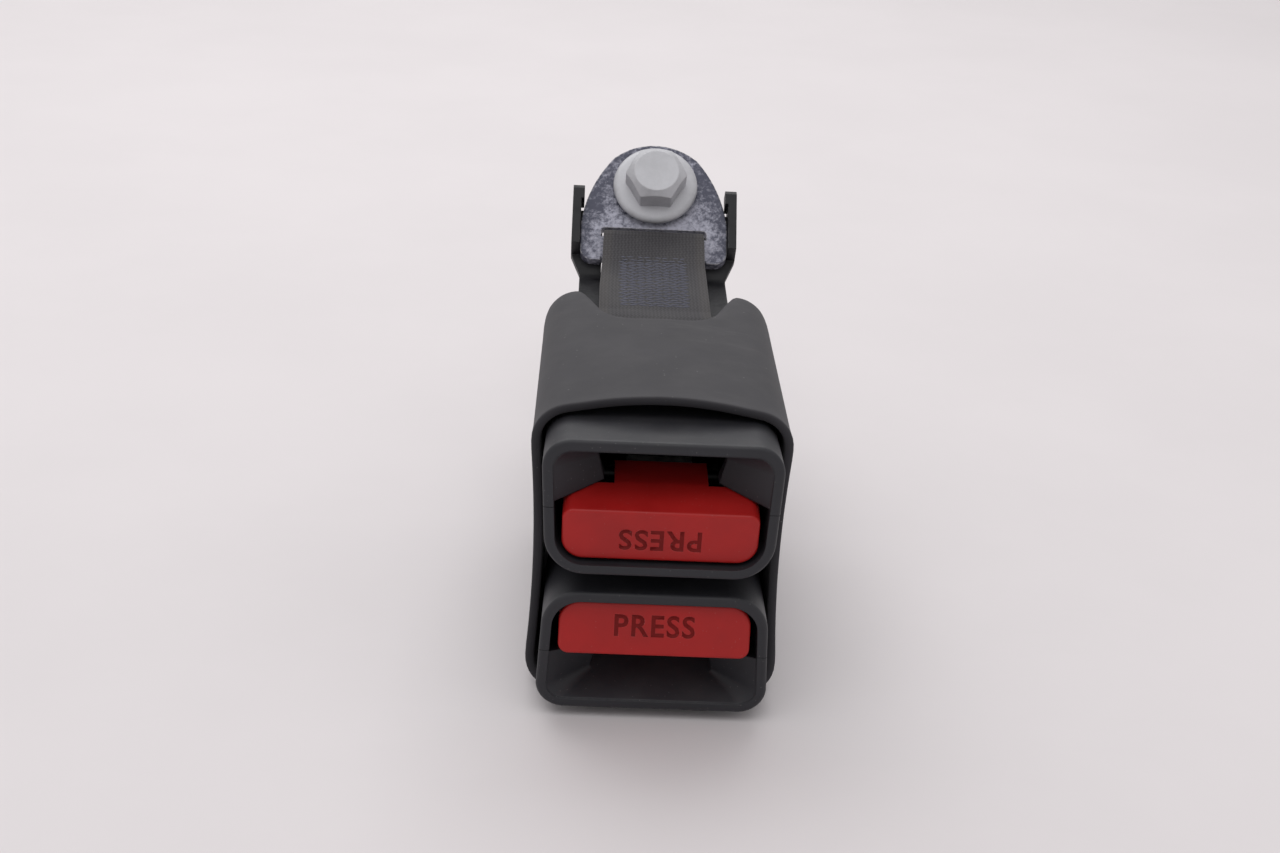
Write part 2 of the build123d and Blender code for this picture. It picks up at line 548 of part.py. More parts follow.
# ------------------------------------------------------------------ latch and ejector
def latch():
    """The latch plate: barrel on the pin, arm and the nose that holds the tongue."""
    nose_rear = LATCH_NOSE_FRONT_Y + LATCH_NOSE_L
    arm_top = LATCH_ARM_BOTTOM_Z + LATCH_ARM_T
    wide = block(-LATCH_W / 2, LATCH_W / 2, LATCH_SHOULDER_Y, LATCH_PIVOT_Y, LATCH_ARM_BOTTOM_Z, arm_top)
    narrow = block(-LATCH_NOSE_W / 2, LATCH_NOSE_W / 2, LATCH_NOSE_FRONT_Y, LATCH_SHOULDER_Y,
                   LATCH_ARM_BOTTOM_Z, arm_top)
    nose = polygon([(LATCH_NOSE_FRONT_Y, LATCH_ARM_BOTTOM_Z), (nose_rear, LATCH_ARM_BOTTOM_Z),
                    (nose_rear, LATCH_NOSE_TOP_Z), (LATCH_NOSE_FRONT_Y + 0.8, LATCH_NOSE_TOP_Z),
                    (LATCH_NOSE_FRONT_Y, LATCH_NOSE_TOP_Z - 1.0)])
    barrel = rod_x(LATCH_BARREL_R, LATCH_W / 2, LATCH_PIVOT_Y, LATCH_PIVOT_Z)
    body = wide + narrow + across(nose, LATCH_NOSE_W / 2) + barrel
    return body - rod_x(LATCH_PIN_R + RUN_CLEARANCE, LATCH_W, LATCH_PIVOT_Y, LATCH_PIVOT_Z)


def latch_pin():
    return chamfer_ends(rod_x(LATCH_PIN_R, FRAME_W / 2 + 0.8, LATCH_PIVOT_Y, LATCH_PIVOT_Z), BAR_CHAMFER)


def latch_spring():
    foot = latch_spring_foot()
    length = LATCH_ARM_BOTTOM_Z - foot
    return Pos(0, LATCH_SPRING_Y, foot + length / 2) * sleeve(LATCH_SPRING_R, length)


def ejector():
    """The ejector: a slider under the base plate with a guide tab in its slot and a spring prong."""
    top = FRAME_INNER_Z - SLIDE_CLEARANCE
    rear = EJECTOR_FRONT_Y + EJECTOR_LEN
    body = block(-EJECTOR_W / 2, EJECTOR_W / 2, EJECTOR_FRONT_Y, rear, EJECTOR_BOTTOM_Z, top)
    body = chamfer([e for e in body.edges() if e.center().Y < EJECTOR_FRONT_Y + 0.1], 0.5)
    tab = block(-EJECTOR_TAB_W / 2, EJECTOR_TAB_W / 2, rear - EJECTOR_TAB_L, rear, top - 0.1,
                FRAME_OUTER_Z - 0.2)
    return body + tab + rod_y(PRONG_R, rear - 0.1, rear + PRONG_L, 0, EJECTOR_SPRING_Z)


def ejector_spring():
    front = EJECTOR_FRONT_Y + EJECTOR_LEN
    length = FRAME_REAR_Y - STEEL_T - front
    return Pos(0, front + length / 2, EJECTOR_SPRING_Z) * Rot(90, 0, 0) * sleeve(EJECTOR_SPRING_R, length)


# ------------------------------------------------------------------ rubber boot
def boot_section(y, inset=0.0):
    """The boot's waisted outline at depth y, drawn inwards by inset."""
    share = (y - BOOT_FRONT_Y) / (BOOT_REAR_Y - BOOT_FRONT_Y)
    half = BOOT_W / 2 - BOOT_SIDE_TAPER * share - inset
    top = BOOT_TOP_Z - BOOT_SHOULDER_FALL * share - inset
    crown = spread(BOOT_FRONT_CROWN, BOOT_REAR_CROWN, share)
    bottom = inset
    r = BOOT_CORNER_R - inset
    bulge = r * math.sqrt(0.5)
    middle = (bottom + top) / 2
    right = [
        Line((0, bottom), (half - r, bottom)),
        ThreePointArc((half - r, bottom), (half - r + bulge, bottom + r - bulge), (half, bottom + r)),
        ThreePointArc((half, bottom + r), (half - BOOT_WAIST, middle), (half, top - r)),
        ThreePointArc((half, top - r), (half - r + bulge, top - r + bulge), (half - r, top)),
    ]
    left = [mirror(edge, about=Plane.YZ) for edge in right]
    arch = ThreePointArc((half - r, top), (0, top + crown), (r - half, top))
    return Plane.XZ.offset(-y) * make_face(right + [arch] + left)


def boot_loft(y0, y1, inset=0.0):
    return loft([boot_section(y0, inset), boot_section(y1, inset)], ruled=True)


def boot_form():
    """The boot's outer form, with its rear edge rounded in BOOT_REAR_STEPS narrow bands."""
    sections = [boot_section(BOOT_FRONT_Y)]
    for step in range(BOOT_REAR_STEPS + 1):
        turn = math.pi / 2 * step / BOOT_REAR_STEPS
        sections.append(boot_section(BOOT_REAR_Y - BOOT_REAR_R * (1 - math.sin(turn)),
                                     BOOT_REAR_R * (1 - math.cos(turn))))
    return loft(sections, ruled=True)


def boot():
    """The boot: a waisted sleeve with a web between the buckles, open in front and notched behind."""
    outer = boot_form()
    outer = fillet(outer.faces().sort_by(Axis.Y)[0].edges(), BOOT_WALL * BOOT_LIP_SHARE)
    inner = boot_loft(BOOT_FRONT_Y - 2, BOOT_REAR_Y - BOOT_REAR_WALL, BOOT_WALL)
    web = boot_loft(BOOT_WEB_FRONT_Y, BOOT_WEB_REAR_Y, BOOT_WALL - LAP) \
        & block(-BEYOND, BEYOND, 0, BEYOND, BOOT_MID_Z - BOOT_WEB_T / 2, BOOT_MID_Z + BOOT_WEB_T / 2)
    opening = block(-BOOT_OPENING_W / 2, BOOT_OPENING_W / 2, BOOT_REAR_Y - BOOT_REAR_WALL - 1, BEYOND,
                    BOOT_OPENING_SILL, BEYOND)
    plan = polygon([(-NOTCH_INNER_W / 2, NOTCH_Y), (NOTCH_INNER_W / 2, NOTCH_Y),
                    (NOTCH_OUTER_W / 2, BOOT_REAR_Y + 1), (-NOTCH_OUTER_W / 2, BOOT_REAR_Y + 1)])
    plan = fillet([v for v in plan.vertices() if v.Y < NOTCH_Y + 1], NOTCH_R)
    notch = extrude(Plane.XY.offset(UPPER_MID_Z) * plan, BEYOND)
    return (outer - inner) + web - opening - notch


# ------------------------------------------------------------------ webbing
def eye(y, z, radius, tail, toward):
    """Profile of a webbing loop around a bar at (y, z); its two plies meet tail away, along +Y or -Y."""
    meet = y + toward * tail
    outside = make_hull([*Edge.make_circle(radius + WEB_T, Plane((y, z, 0))).edges(),
                         *Edge.make_circle(WEB_SEWN_T / 2, Plane((meet, z, 0))).edges()])
    inside = make_hull([*Edge.make_circle(radius, Plane((y, z, 0))).edges(),
                        *Edge.make_circle(0.1, Plane((meet - toward * 1.5, z, 0))).edges()])
    return outside - inside


def webbing():
    """One sewn strap: a loop on the anchor plate's bar and a loop on each buckle's tail bar."""
    upper_z = UPPER_MID_Z + TAIL_BAR_Z
    lower_z = LOWER_MID_Z - TAIL_BAR_Z
    lower_y = TAIL_BAR_Y + LOWER_SETBACK
    upper_meet = TAIL_BAR_Y + TAIL_EYE_TAIL
    lower_meet = lower_y + TAIL_EYE_TAIL
    sewn_rear = PIVOT_Y - PIVOT_EYE_TAIL
    under = PIVOT_Z - WEB_SEWN_T / 2
    over = PIVOT_Z + WEB_SEWN_T / 2
    sewn = polygon([(SEWN_FRONT_Y, under), (sewn_rear, under), (sewn_rear, over), (SEWN_FRONT_Y, over)])
    upper_ply = thick_path([(upper_meet - 0.5, upper_z), (upper_meet + 2.0, upper_z),
                            (SEWN_FRONT_Y - 1.0, PIVOT_Z + UPPER_PLY_OFFSET),
                            (SEWN_FRONT_Y + 2.0, PIVOT_Z + UPPER_PLY_OFFSET)], UPPER_PLY_R, UPPER_PLY_T)
    fall_y = SEWN_FRONT_Y - LOWER_PLY_IN
    fall_z = PIVOT_Z + LOWER_PLY_OFFSET
    lower_ply = thick_path([(lower_meet - 0.5, lower_z), (fall_y + 0.7 * LOWER_PLY_LEAN, lower_z),
                            (fall_y - 0.3 * LOWER_PLY_LEAN, fall_z), (SEWN_FRONT_Y + 4.0, fall_z)],
                           LOWER_PLY_R, LOWER_PLY_T)
    profile = sewn + upper_ply + lower_ply
    profile = profile + eye(PIVOT_Y, PIVOT_Z, PIVOT_EYE_R, PIVOT_EYE_TAIL, -1)
    profile = profile + eye(TAIL_BAR_Y, upper_z, TAIL_EYE_R, TAIL_EYE_TAIL, 1)
    profile = profile + eye(lower_y, lower_z, TAIL_EYE_R, TAIL_EYE_TAIL, 1)
    return across(profile, WEB_W / 2)


def thick_path(points, radius, thickness):
    """A strip of even thickness along a path with rounded corners, as a profile."""
    return trace(FilletPolyline(*points, radius=radius), line_width=thickness)


# ------------------------------------------------------------------ anchor
def anchor_plate():
    """The bell-shaped anchor plate with its webbing slot, coined bar and bolt hole."""
    half = ANCHOR_W / 2
    low = -ANCHOR_BAR_W / 2
    r = ANCHOR_LOWER_R
    bulge = r * (1 - math.sqrt(0.5))
    shoulder = (ANCHOR_SHOULDER_X, ANCHOR_SHOULDER_Y)
    flank = (half - ANCHOR_FLANK_IN, ANCHOR_FLANK_Y)
    corner = (shoulder[0] + ANCHOR_SHOULDER_CUT, shoulder[1] - ANCHOR_SHOULDER_CUT * 2 / 3)
    right = [
        Line((0, low), (half - r, low)),
        ThreePointArc((half - r, low), (half - bulge, low + bulge), (half, low + r)),
        Line((half, low + r), (half, ANCHOR_SIDE_TOP_Y)),
        ThreePointArc((half, ANCHOR_SIDE_TOP_Y), flank, corner),
        Line(corner, shoulder),
    ]
    left = [mirror(edge, about=Plane.YZ) for edge in right]
    top = ThreePointArc(shoulder, (0, ANCHOR_TOP_Y), (-shoulder[0], shoulder[1]))
    face = make_face(right + [top] + left)
    # the slot is cut together with the bar's place, and the rounded bar is set back in
    slot_half = ANCHOR_SLOT_W / 2
    slot_top = ANCHOR_BAR_W / 2 + ANCHOR_SLOT_L
    slot = polygon([(-slot_half, 2 * low), (slot_half, 2 * low), (slot_half, slot_top),
                    (-slot_half, slot_top)])
    slot = fillet([v for v in slot.vertices() if v.Y > 0], ANCHOR_SLOT_R)
    hole = Pos(0, ANCHOR_HOLE_Y) * Circle(BOLT_HOLE_R)
    plate = extrude(face - slot - hole, ANCHOR_FACE, both=True)
    return plate + across(RectangleRounded(ANCHOR_BAR_W, ANCHOR_T, ANCHOR_EDGE_R), slot_half + ANCHOR_SLOT_R)


def bracket():
    """The black bracket: base under the plate, an ear beside each edge and two arms beside the webbing."""
    inner = ANCHOR_W / 2 + BRACKET_GAP
    outer = inner + EAR_T
    top = -ANCHOR_FACE
    root_x = ANCHOR_W / 2 - BRACKET_ROOT_IN
    rear_x = ANCHOR_W / 2 - BRACKET_REAR_IN
    face = polygon([(0, BRACKET_FRONT_Y), (ARM_INNER_X, BRACKET_FRONT_Y), (ARM_INNER_X, ARM_BEND_Y),
                    (ARM_OUTER_X, ARM_BEND_Y), (outer, EAR_FOOT_Y), (outer, EAR_ROOT_Y),
                    (root_x, EAR_ROOT_Y), (rear_x, BRACKET_REAR_Y), (0, BRACKET_REAR_Y)])
    face = fillet([v for v in face.vertices() if v.Y > BRACKET_REAR_Y - LAP and v.X > 1], BRACKET_REAR_R)
    base = extrude(Plane.XY.offset(top) * face, -BRACKET_T)
    foot = BRACKET_BOTTOM + EAR_LAP
    ear_side = polygon([(EAR_FOOT_Y + EAR_CUT, foot), (EAR_FOOT_Y, top),
                        (EAR_FOOT_Y + 2 * EAR_LAP, EAR_RISE), (EAR_TOP_Y - EAR_CUT, EAR_RISE),
                        (EAR_TOP_Y, EAR_RISE - EAR_CUT), (EAR_TOP_Y, foot)])
    ear = extrude(Plane.YZ.offset(inner) * ear_side, EAR_T)
    head = extrude(Plane.YZ.offset(outer - EAR_HEAD_T) * ear_side, EAR_HEAD_T)
    ear = ear + (head & block(0, BEYOND, EAR_HEAD_Y, BEYOND, top, BEYOND))
    # the arm leaves the base's edge and bends level with the webbing
    tilt = math.radians(ANCHOR_TILT_DEG)
    mid = top - BRACKET_T / 2
    bend = ARM_BEND_Y - ARM_BEND_LEAD
    tip = (bend - ARM_LEN * math.cos(tilt), mid + ARM_LEN * math.sin(tilt))
    arm_side = thick_path([(ARM_BEND_Y + ARM_ROOT, mid), (bend, mid), tip], ARM_BEND_R, BRACKET_T)
    arm = extrude(Plane.YZ.offset(ARM_INNER_X) * arm_side, ARM_OUTER_X - ARM_INNER_X)
    body = both_sides(base + ear + arm)
    return body - Pos(0, ANCHOR_HOLE_Y, 0) * Cylinder(BOLT_HOLE_R, BEYOND)


def ring(outer, bottom, top):
    """A flat ring round the bolt."""
    shape = Cylinder(outer, top - bottom) - Cylinder(BOLT_HOLE_R, top - bottom)
    return Pos(0, ANCHOR_HOLE_Y, (bottom + top) / 2) * shape


def anchor_bolt():
    """The flanged hex bolt with a pilot end, its thread left plain."""
    up = (Align.CENTER, Align.CENTER, Align.MIN)
    head_l = BOLT_FLANGE_T + HEX_H
    flange = Cone(BOLT_FLANGE_R, BOLT_FLANGE_R - FLANGE_TAPER, BOLT_FLANGE_T, align=up)
    hexagon = extrude(RegularPolygon(HEX_AF / 2, 6, major_radius=False), head_l)
    crown_r = HEX_AF / 2 - HEX_CROWN_IN
    crown = Cone(crown_r + head_l / math.tan(math.radians(HEX_CHAMFER_DEG)), crown_r, head_l, align=up)
    neck_l = WASHER_TOP - NECK_END_Z
    thread_l = BOLT_SHANK - PILOT_L - neck_l
    neck = Pos(0, 0, -neck_l / 2) * Cylinder(BOLT_NECK_R, neck_l)
    thread = Pos(0, 0, -neck_l - thread_l / 2) * Cylinder(BOLT_R, thread_l)
    pilot = Pos(0, 0, -BOLT_SHANK) * Cone(PILOT_R - PILOT_TAPER, PILOT_R, PILOT_L, align=up)
    return Pos(0, ANCHOR_HOLE_Y, WASHER_TOP) * (flange + (hexagon & crown) + neck + thread + pilot)


# ------------------------------------------------------------------ the whole part
def buckle_pieces():
    """Every piece of one buckle, in the buckle's own frame."""
    shell = housing_shell()
    return {
        "slot_cover": slot_cover(shell),
        "button_cover": button_cover(shell),
        "button": button(),
        "button_springs": button_springs(),
        "lock_bar": lock_bar(),
        "frame": frame(),
        "latch": latch(),
        "latch_pin": latch_pin(),
        "latch_spring": latch_spring(),
        "ejector": ejector(),
        "ejector_spring": ejector_spring(),
    }


def build_nodes():
    """All nodes, still measured from the upper mouth."""
    nodes = {}
    pieces = buckle_pieces()
    for prefix, place in (("upper", UPPER), ("lower", LOWER)):
        for name, shape in pieces.items():
            nodes[f"{prefix}_{name}"] = place * shape
    nodes["boot"] = boot()
    nodes["webbing_strap"] = webbing()
    nodes["anchor_plate"] = ANCHOR * anchor_plate()
    nodes["anchor_bracket"] = ANCHOR * bracket()
    nodes["spring_washer"] = ANCHOR * ring(SPRING_WASHER_R, ANCHOR_FACE, WASHER_TOP)
    nodes["keeper_washer"] = ANCHOR * ring(KEEPER_R, BRACKET_BOTTOM - KEEPER_T, BRACKET_BOTTOM)
    nodes["anchor_bolt"] = ANCHOR * anchor_bolt()
    return nodes


def front_to_back(nodes):
    """The nearest and furthest Y of all nodes."""
    boxes = [shape.bounding_box() for shape in nodes.values()]
    return min(box.min.Y for box in boxes), max(box.max.Y for box in boxes)


NODES = build_nodes()
Y_MIN, Y_MAX = front_to_back(NODES)
Y_SHIFT = -(Y_MIN + Y_MAX) / 2      # puts the origin under the middle of the part

os.makedirs("parts", exist_ok=True)
for node_name, node_shape in NODES.items():
    placed = Pos(0, Y_SHIFT, 0) * node_shape
    export_step(placed, f"parts/{node_name}.step")
print("front to back", round(Y_MIN, 3), round(Y_MAX, 3), "shift", round(Y_SHIFT, 3))
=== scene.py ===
"""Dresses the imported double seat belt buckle: boot, webbing, springs, buttons, anchor and their finishes."""
import logging
import math
from dataclasses import dataclass
from enum import Enum
from typing import Iterable, Optional, Sequence

import bmesh
import bpy
from mathutils import Matrix, Vector


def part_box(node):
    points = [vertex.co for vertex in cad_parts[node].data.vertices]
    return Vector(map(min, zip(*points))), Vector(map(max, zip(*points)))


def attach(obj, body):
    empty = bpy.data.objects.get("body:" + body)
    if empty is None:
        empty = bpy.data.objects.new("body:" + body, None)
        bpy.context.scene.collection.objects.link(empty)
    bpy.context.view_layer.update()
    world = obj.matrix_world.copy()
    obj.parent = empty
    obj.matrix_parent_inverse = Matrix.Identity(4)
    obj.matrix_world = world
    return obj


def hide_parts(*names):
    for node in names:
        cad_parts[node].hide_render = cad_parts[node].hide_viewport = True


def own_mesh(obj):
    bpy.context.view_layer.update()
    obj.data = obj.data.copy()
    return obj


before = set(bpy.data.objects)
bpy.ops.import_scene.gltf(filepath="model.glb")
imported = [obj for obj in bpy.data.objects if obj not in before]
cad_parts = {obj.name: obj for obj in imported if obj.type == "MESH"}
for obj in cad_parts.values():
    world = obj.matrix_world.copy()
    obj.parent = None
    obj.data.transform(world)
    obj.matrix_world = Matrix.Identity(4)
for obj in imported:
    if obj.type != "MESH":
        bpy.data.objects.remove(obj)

LOG = logging.getLogger("seat_belt_buckle")
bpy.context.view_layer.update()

MM = 0.001
BOOT_FRONT = 15.0                   # depth of the boot's lip behind the upper mouth, mm
UPPER_Z = 51.25                     # height of the upper buckle's own plane, mm
LOWER_Y, LOWER_Z = 2.0, 16.85       # depth and height of the lower buckle's own plane, mm
ANCHOR_BAR = (139.08, 58.29)        # depth and height of the anchor plate's bar, mm
ANCHOR_TILT = 44.0                  # degrees
JOIN = 1e-6                         # vertices closer than this are one, in metres

Triple = tuple[float, float, float]
Point2 = tuple[float, float]
Eye = Triple                        # depth and height of a loop's middle, and its radius


class Side(Enum):
    """Which of the two buckles in the stack."""

    UPPER = "upper"
    LOWER = "lower"


class Colour:
    """Linear base colours of the finishes."""

    CHARCOAL = (0.021, 0.021, 0.0255)
    BOOT = (0.032, 0.0305, 0.0355)
    RED = (0.37, 0.010, 0.009)
    ZINC_DARK = (0.060, 0.062, 0.090)
    ZINC_FROST = (0.45, 0.45, 0.53)
    BOLT = (0.56, 0.56, 0.59)
    STEEL = (0.16, 0.16, 0.16)
    BLACK_PAINT = (0.008, 0.008, 0.010)
    WEBBING = (0.040, 0.038, 0.042)
    THREAD = (0.082, 0.084, 0.114)
    DUST = (0.36, 0.345, 0.33)
    NYLON = (0.55, 0.53, 0.47)


# --------------------------------------------------------------------------- places
def stack_to_row() -> Matrix:
    """The matrix from millimetres behind the upper mouth to the row frame in metres."""
    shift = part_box("boot")[0].y - BOOT_FRONT * MM
    return Matrix.Translation((0.0, shift, 0.0)) @ Matrix.Scale(MM, 4)


def buckle_place(side: Side) -> Matrix:
    """The place of one buckle in the stack.

    Args:
        side: The upper or the lower buckle.

    Returns:
        Its matrix, in stack millimetres.
    """
    if side is Side.UPPER:
        return Matrix.Translation((0.0, 0.0, UPPER_Z))
    return Matrix.Translation((0.0, LOWER_Y, LOWER_Z)) @ Matrix.Rotation(math.pi, 4, "Y")


def anchor_place() -> Matrix:
    """The place of the anchor plate's bar, with the plate's tilt, in stack millimetres."""
    return Matrix.Translation((0.0, *ANCHOR_BAR)) @ Matrix.Rotation(math.radians(ANCHOR_TILT), 4, "X")


# --------------------------------------------------------------------------- meshes
def smooth(mesh: bpy.types.Mesh, sharp_deg: float = 35.0) -> None:
    """Shades a mesh smooth, with its sharp edges kept.

    Args:
        mesh: The mesh to shade.
        sharp_deg: Edges that turn more than this stay sharp.
    """
    mesh.polygons.foreach_set("use_smooth", [True] * len(mesh.polygons))
    mesh.set_sharp_from_angle(angle=math.radians(sharp_deg))


def add_object(name: str, data: bpy.types.ID) -> bpy.types.Object:
    """Adds an object to the scene.

    Args:
        name: Its name.
        data: Its mesh, curve, light or camera.

    Returns:
        The object.
    """
    made = bpy.data.objects.new(name, data)
    bpy.context.scene.collection.objects.link(made)
    return made


def closed_mesh(bm: bmesh.types.BMesh, name: str) -> bpy.types.Mesh:
    """Turns a bmesh into a mesh and frees it.

    Args:
        bm: The bmesh.
        name: The mesh's name.

    Returns:
        The mesh.
    """
    mesh = bpy.data.meshes.new(name)
    bm.to_mesh(mesh)
    bm.free()
    return mesh


def everything(bm: bmesh.types.BMesh) -> list:
    """All vertices, edges and faces of a bmesh."""
    return list(bm.verts) + list(bm.edges) + list(bm.faces)


def extrude_row(bm: bmesh.types.BMesh, edges: Iterable) -> tuple[list, list]:
    """Extrudes a row of edges.

    Args:
        bm: The mesh.
        edges: The row.

    Returns:
        The new row's edges and vertices.
    """
    made = bmesh.ops.extrude_edge_only(bm, edges=list(edges))["geom"]
    verts = [g for g in made if isinstance(g, bmesh.types.BMVert)]
    row = set(verts)
    return [g for g in made if isinstance(g, bmesh.types.BMEdge) and all(v in row for v in g.verts)], verts


def place_piece(bm: bmesh.types.BMesh, name: str, place: Matrix, sharp_deg: float = 35.0) -> bpy.types.Object:
    """Makes an object of a finished bmesh, with its place in its mesh.

    Args:
        bm: The mesh in millimetres; it is freed.
        name: The piece's name.
        place: Its place in stack millimetres.
        sharp_deg: Edges that turn more than this stay sharp.

    Returns:
        The new object at the origin.
    """
    bmesh.ops.transform(bm, matrix=stack_to_row() @ place, verts=bm.verts)
    mesh = closed_mesh(bm, name)
    smooth(mesh, sharp_deg)
    return add_object(name, mesh)


def wear_only(piece: bpy.types.Object, material: bpy.types.Material) -> None:
    """Gives a piece one material in place of what it had."""
    piece.data.materials.clear()
    piece.data.materials.append(material)


def settle(piece: bpy.types.Object, body: str, material: Optional[bpy.types.Material],
           replaces: Sequence[str] = ()) -> None:
    """Gives a piece its material, its body and the node that it stands for.

    Args:
        piece: The piece in place.
        body: The body that it rides on.
        material: Its finish, or None when its faces already have theirs.
        replaces: The nodes that it stands for.
    """
    if material is not None:
        wear_only(piece, material)
    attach(piece, body)
    if replaces:
        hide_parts(*replaces)
    LOG.info("%s on %s", piece.name, body)


def bake_modifiers(piece: bpy.types.Object) -> None:
    """Applies all modifiers of a piece to its mesh.

    Args:
        piece: The piece whose modifiers become its mesh.
    """
    graph = bpy.context.evaluated_depsgraph_get()
    mesh = bpy.data.meshes.new_from_object(piece.evaluated_get(graph), preserve_all_data_layers=True,
                                           depsgraph=graph)
    piece.modifiers.clear()
    piece.data = mesh


def add_modifier(piece: bpy.types.Object, kind: str, **settings: object) -> None:
    """Adds one modifier.

    Args:
        piece: The piece.
        kind: The modifier's type.
        settings: Its settings by name.
    """
    modifier = piece.modifiers.new(kind.lower(), kind)
    for key, value in settings.items():
        setattr(modifier, key, value)


def merged_copy(node: str, name: str) -> bpy.types.Object:
    """A copy of a solid's mesh with its loose triangles joined and its flat faces whole.

    Args:
        node: The node to copy.
        name: The copy's name.

    Returns:
        The new object.
    """
    bm = bmesh.new()
    bm.from_mesh(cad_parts[node].data)
    bmesh.ops.remove_doubles(bm, verts=bm.verts, dist=JOIN)
    bmesh.ops.dissolve_limit(bm, angle_limit=math.radians(0.5), verts=bm.verts, edges=bm.edges)
    return add_object(name, closed_mesh(bm, name))


def turned(profile: Sequence[Point2], segments: int) -> bmesh.types.BMesh:
    """Turns a profile about the Z axis, ring by ring.

    Args:
        profile: Radius and height from one pole to the other.
        segments: Segments round each ring.

    Returns:
        The closed turned form in millimetres.
    """
    bm = bmesh.new()
    pole = 1e-3
    radius, height = max(profile[0][0], pole), profile[0][1]
    bmesh.ops.create_circle(bm, segments=segments, radius=radius, matrix=Matrix.Translation((0, 0, height)))
    row = list(bm.edges)
    for next_radius, next_height in profile[1:]:
        row, verts = extrude_row(bm, row)
        scale = max(next_radius, pole) / radius
        bmesh.ops.scale(bm, verts=verts, vec=(scale, scale, 1.0))
        bmesh.ops.translate(bm, verts=verts, vec=(0, 0, next_height - height))
        radius, height = max(next_radius, pole), next_height
    bmesh.ops.remove_doubles(bm, verts=bm.verts, dist=2.5 * pole)
    bmesh.ops.recalc_face_normals(bm, faces=bm.faces)
    return bm


# --------------------------------------------------------------------------- shader building
class Sheet:
    """Short-hand for building a node tree."""

    def __init__(self, tree: bpy.types.NodeTree) -> None:
        """Starts on a tree with no nodes."""
        self.tree = tree
        tree.nodes.clear()

    def add(self, kind: str, inputs: Optional[dict] = None, **settings: object) -> bpy.types.Node:
        """Adds a node and sets it.

        Args:
            kind: The node's type, without its ShaderNode prefix.
            inputs: Values or sockets by input name or number.
            settings: The node's own settings.

        Returns:
            The node.
        """
        full = kind if kind.startswith("Node") else "ShaderNode" + kind
        node = self.tree.nodes.new(full)
        for key, value in settings.items():
            setattr(node, key, value)
        self.feed(node, inputs or {})
        return node

    def feed(self, node: bpy.types.Node, inputs: dict) -> None:
        """Sets or links inputs of a node.

        Args:
            node: The node.
            inputs: Values or sockets by input name or number.
        """
        for key, value in inputs.items():
            socket = node.inputs[key]
            if isinstance(value, bpy.types.NodeSocket):
                self.tree.links.new(value, socket)
            else:
                socket.default_value = value

    def maths(self, operation: str, first: object, second: object = 0.0) -> bpy.types.NodeSocket:
        """One Math node."""
        return self.add("Math", {0: first, 1: second}, operation=operation).outputs[0]

    def band(self, value: object, low: float, high: float, to_low: float = 0.0,
             to_high: float = 1.0) -> bpy.types.NodeSocket:
        """Maps a range to another, clamped and smooth at its ends.

        Args:
            value: The socket to map.
            low: Start of the range.
            high: End of the range.
            to_low: Result at the start.
            to_high: Result at the end.

        Returns:
            The result's socket.
        """
        node = self.add("MapRange", {0: value, 1: low, 2: high, 3: to_low, 4: to_high}, clamp=True,
                        interpolation_type="SMOOTHSTEP")
        return node.outputs[0]

    def blend(self, share: object, first: object, second: object) -> bpy.types.NodeSocket:
        """Mixes two colours.

        Args:
            share: How much of the second, 0 to 1.
            first: A colour or socket.
            second: A colour or socket.

        Returns:
            The mixed colour's socket.
        """
        node = self.add("Mix", data_type="RGBA")
        for socket, value in ((node.inputs[0], share), (node.inputs[6], first), (node.inputs[7], second)):
            if isinstance(value, bpy.types.NodeSocket):
                self.tree.links.new(value, socket)
            elif socket.type == "RGBA":
                socket.default_value = (*value[:3], 1.0)
            else:
                socket.default_value = value
        return node.outputs[2]

    def coat(self, base: object, colour: object, mask: object, share: float) -> bpy.types.NodeSocket:
        """Lays a colour over a base."""
        return self.blend(self.maths("MULTIPLY", mask, share), base, colour)

    def noise(self, vector: object, scale: object, detail: float = 3.0, roughness: float = 0.5,
              stretch: Optional[Sequence[float]] = None) -> bpy.types.NodeSocket:
        """A noise pattern.

        Args:
            vector: The coordinates' socket.
            scale: Its scale, a value or socket.
            detail: Its octaves.
            roughness: Weight of the finer octaves.
            stretch: Scale along each axis, if uneven.

        Returns:
            The noise value's socket.
        """
        if stretch is not None:
            vector = self.add("Mapping", {"Vector": vector, "Scale": tuple(stretch)}).outputs[0]
        node = self.add("TexNoise", {"Vector": vector, "Scale": scale, "Detail": detail,
                                     "Roughness": roughness})
        return node.outputs["Fac"]


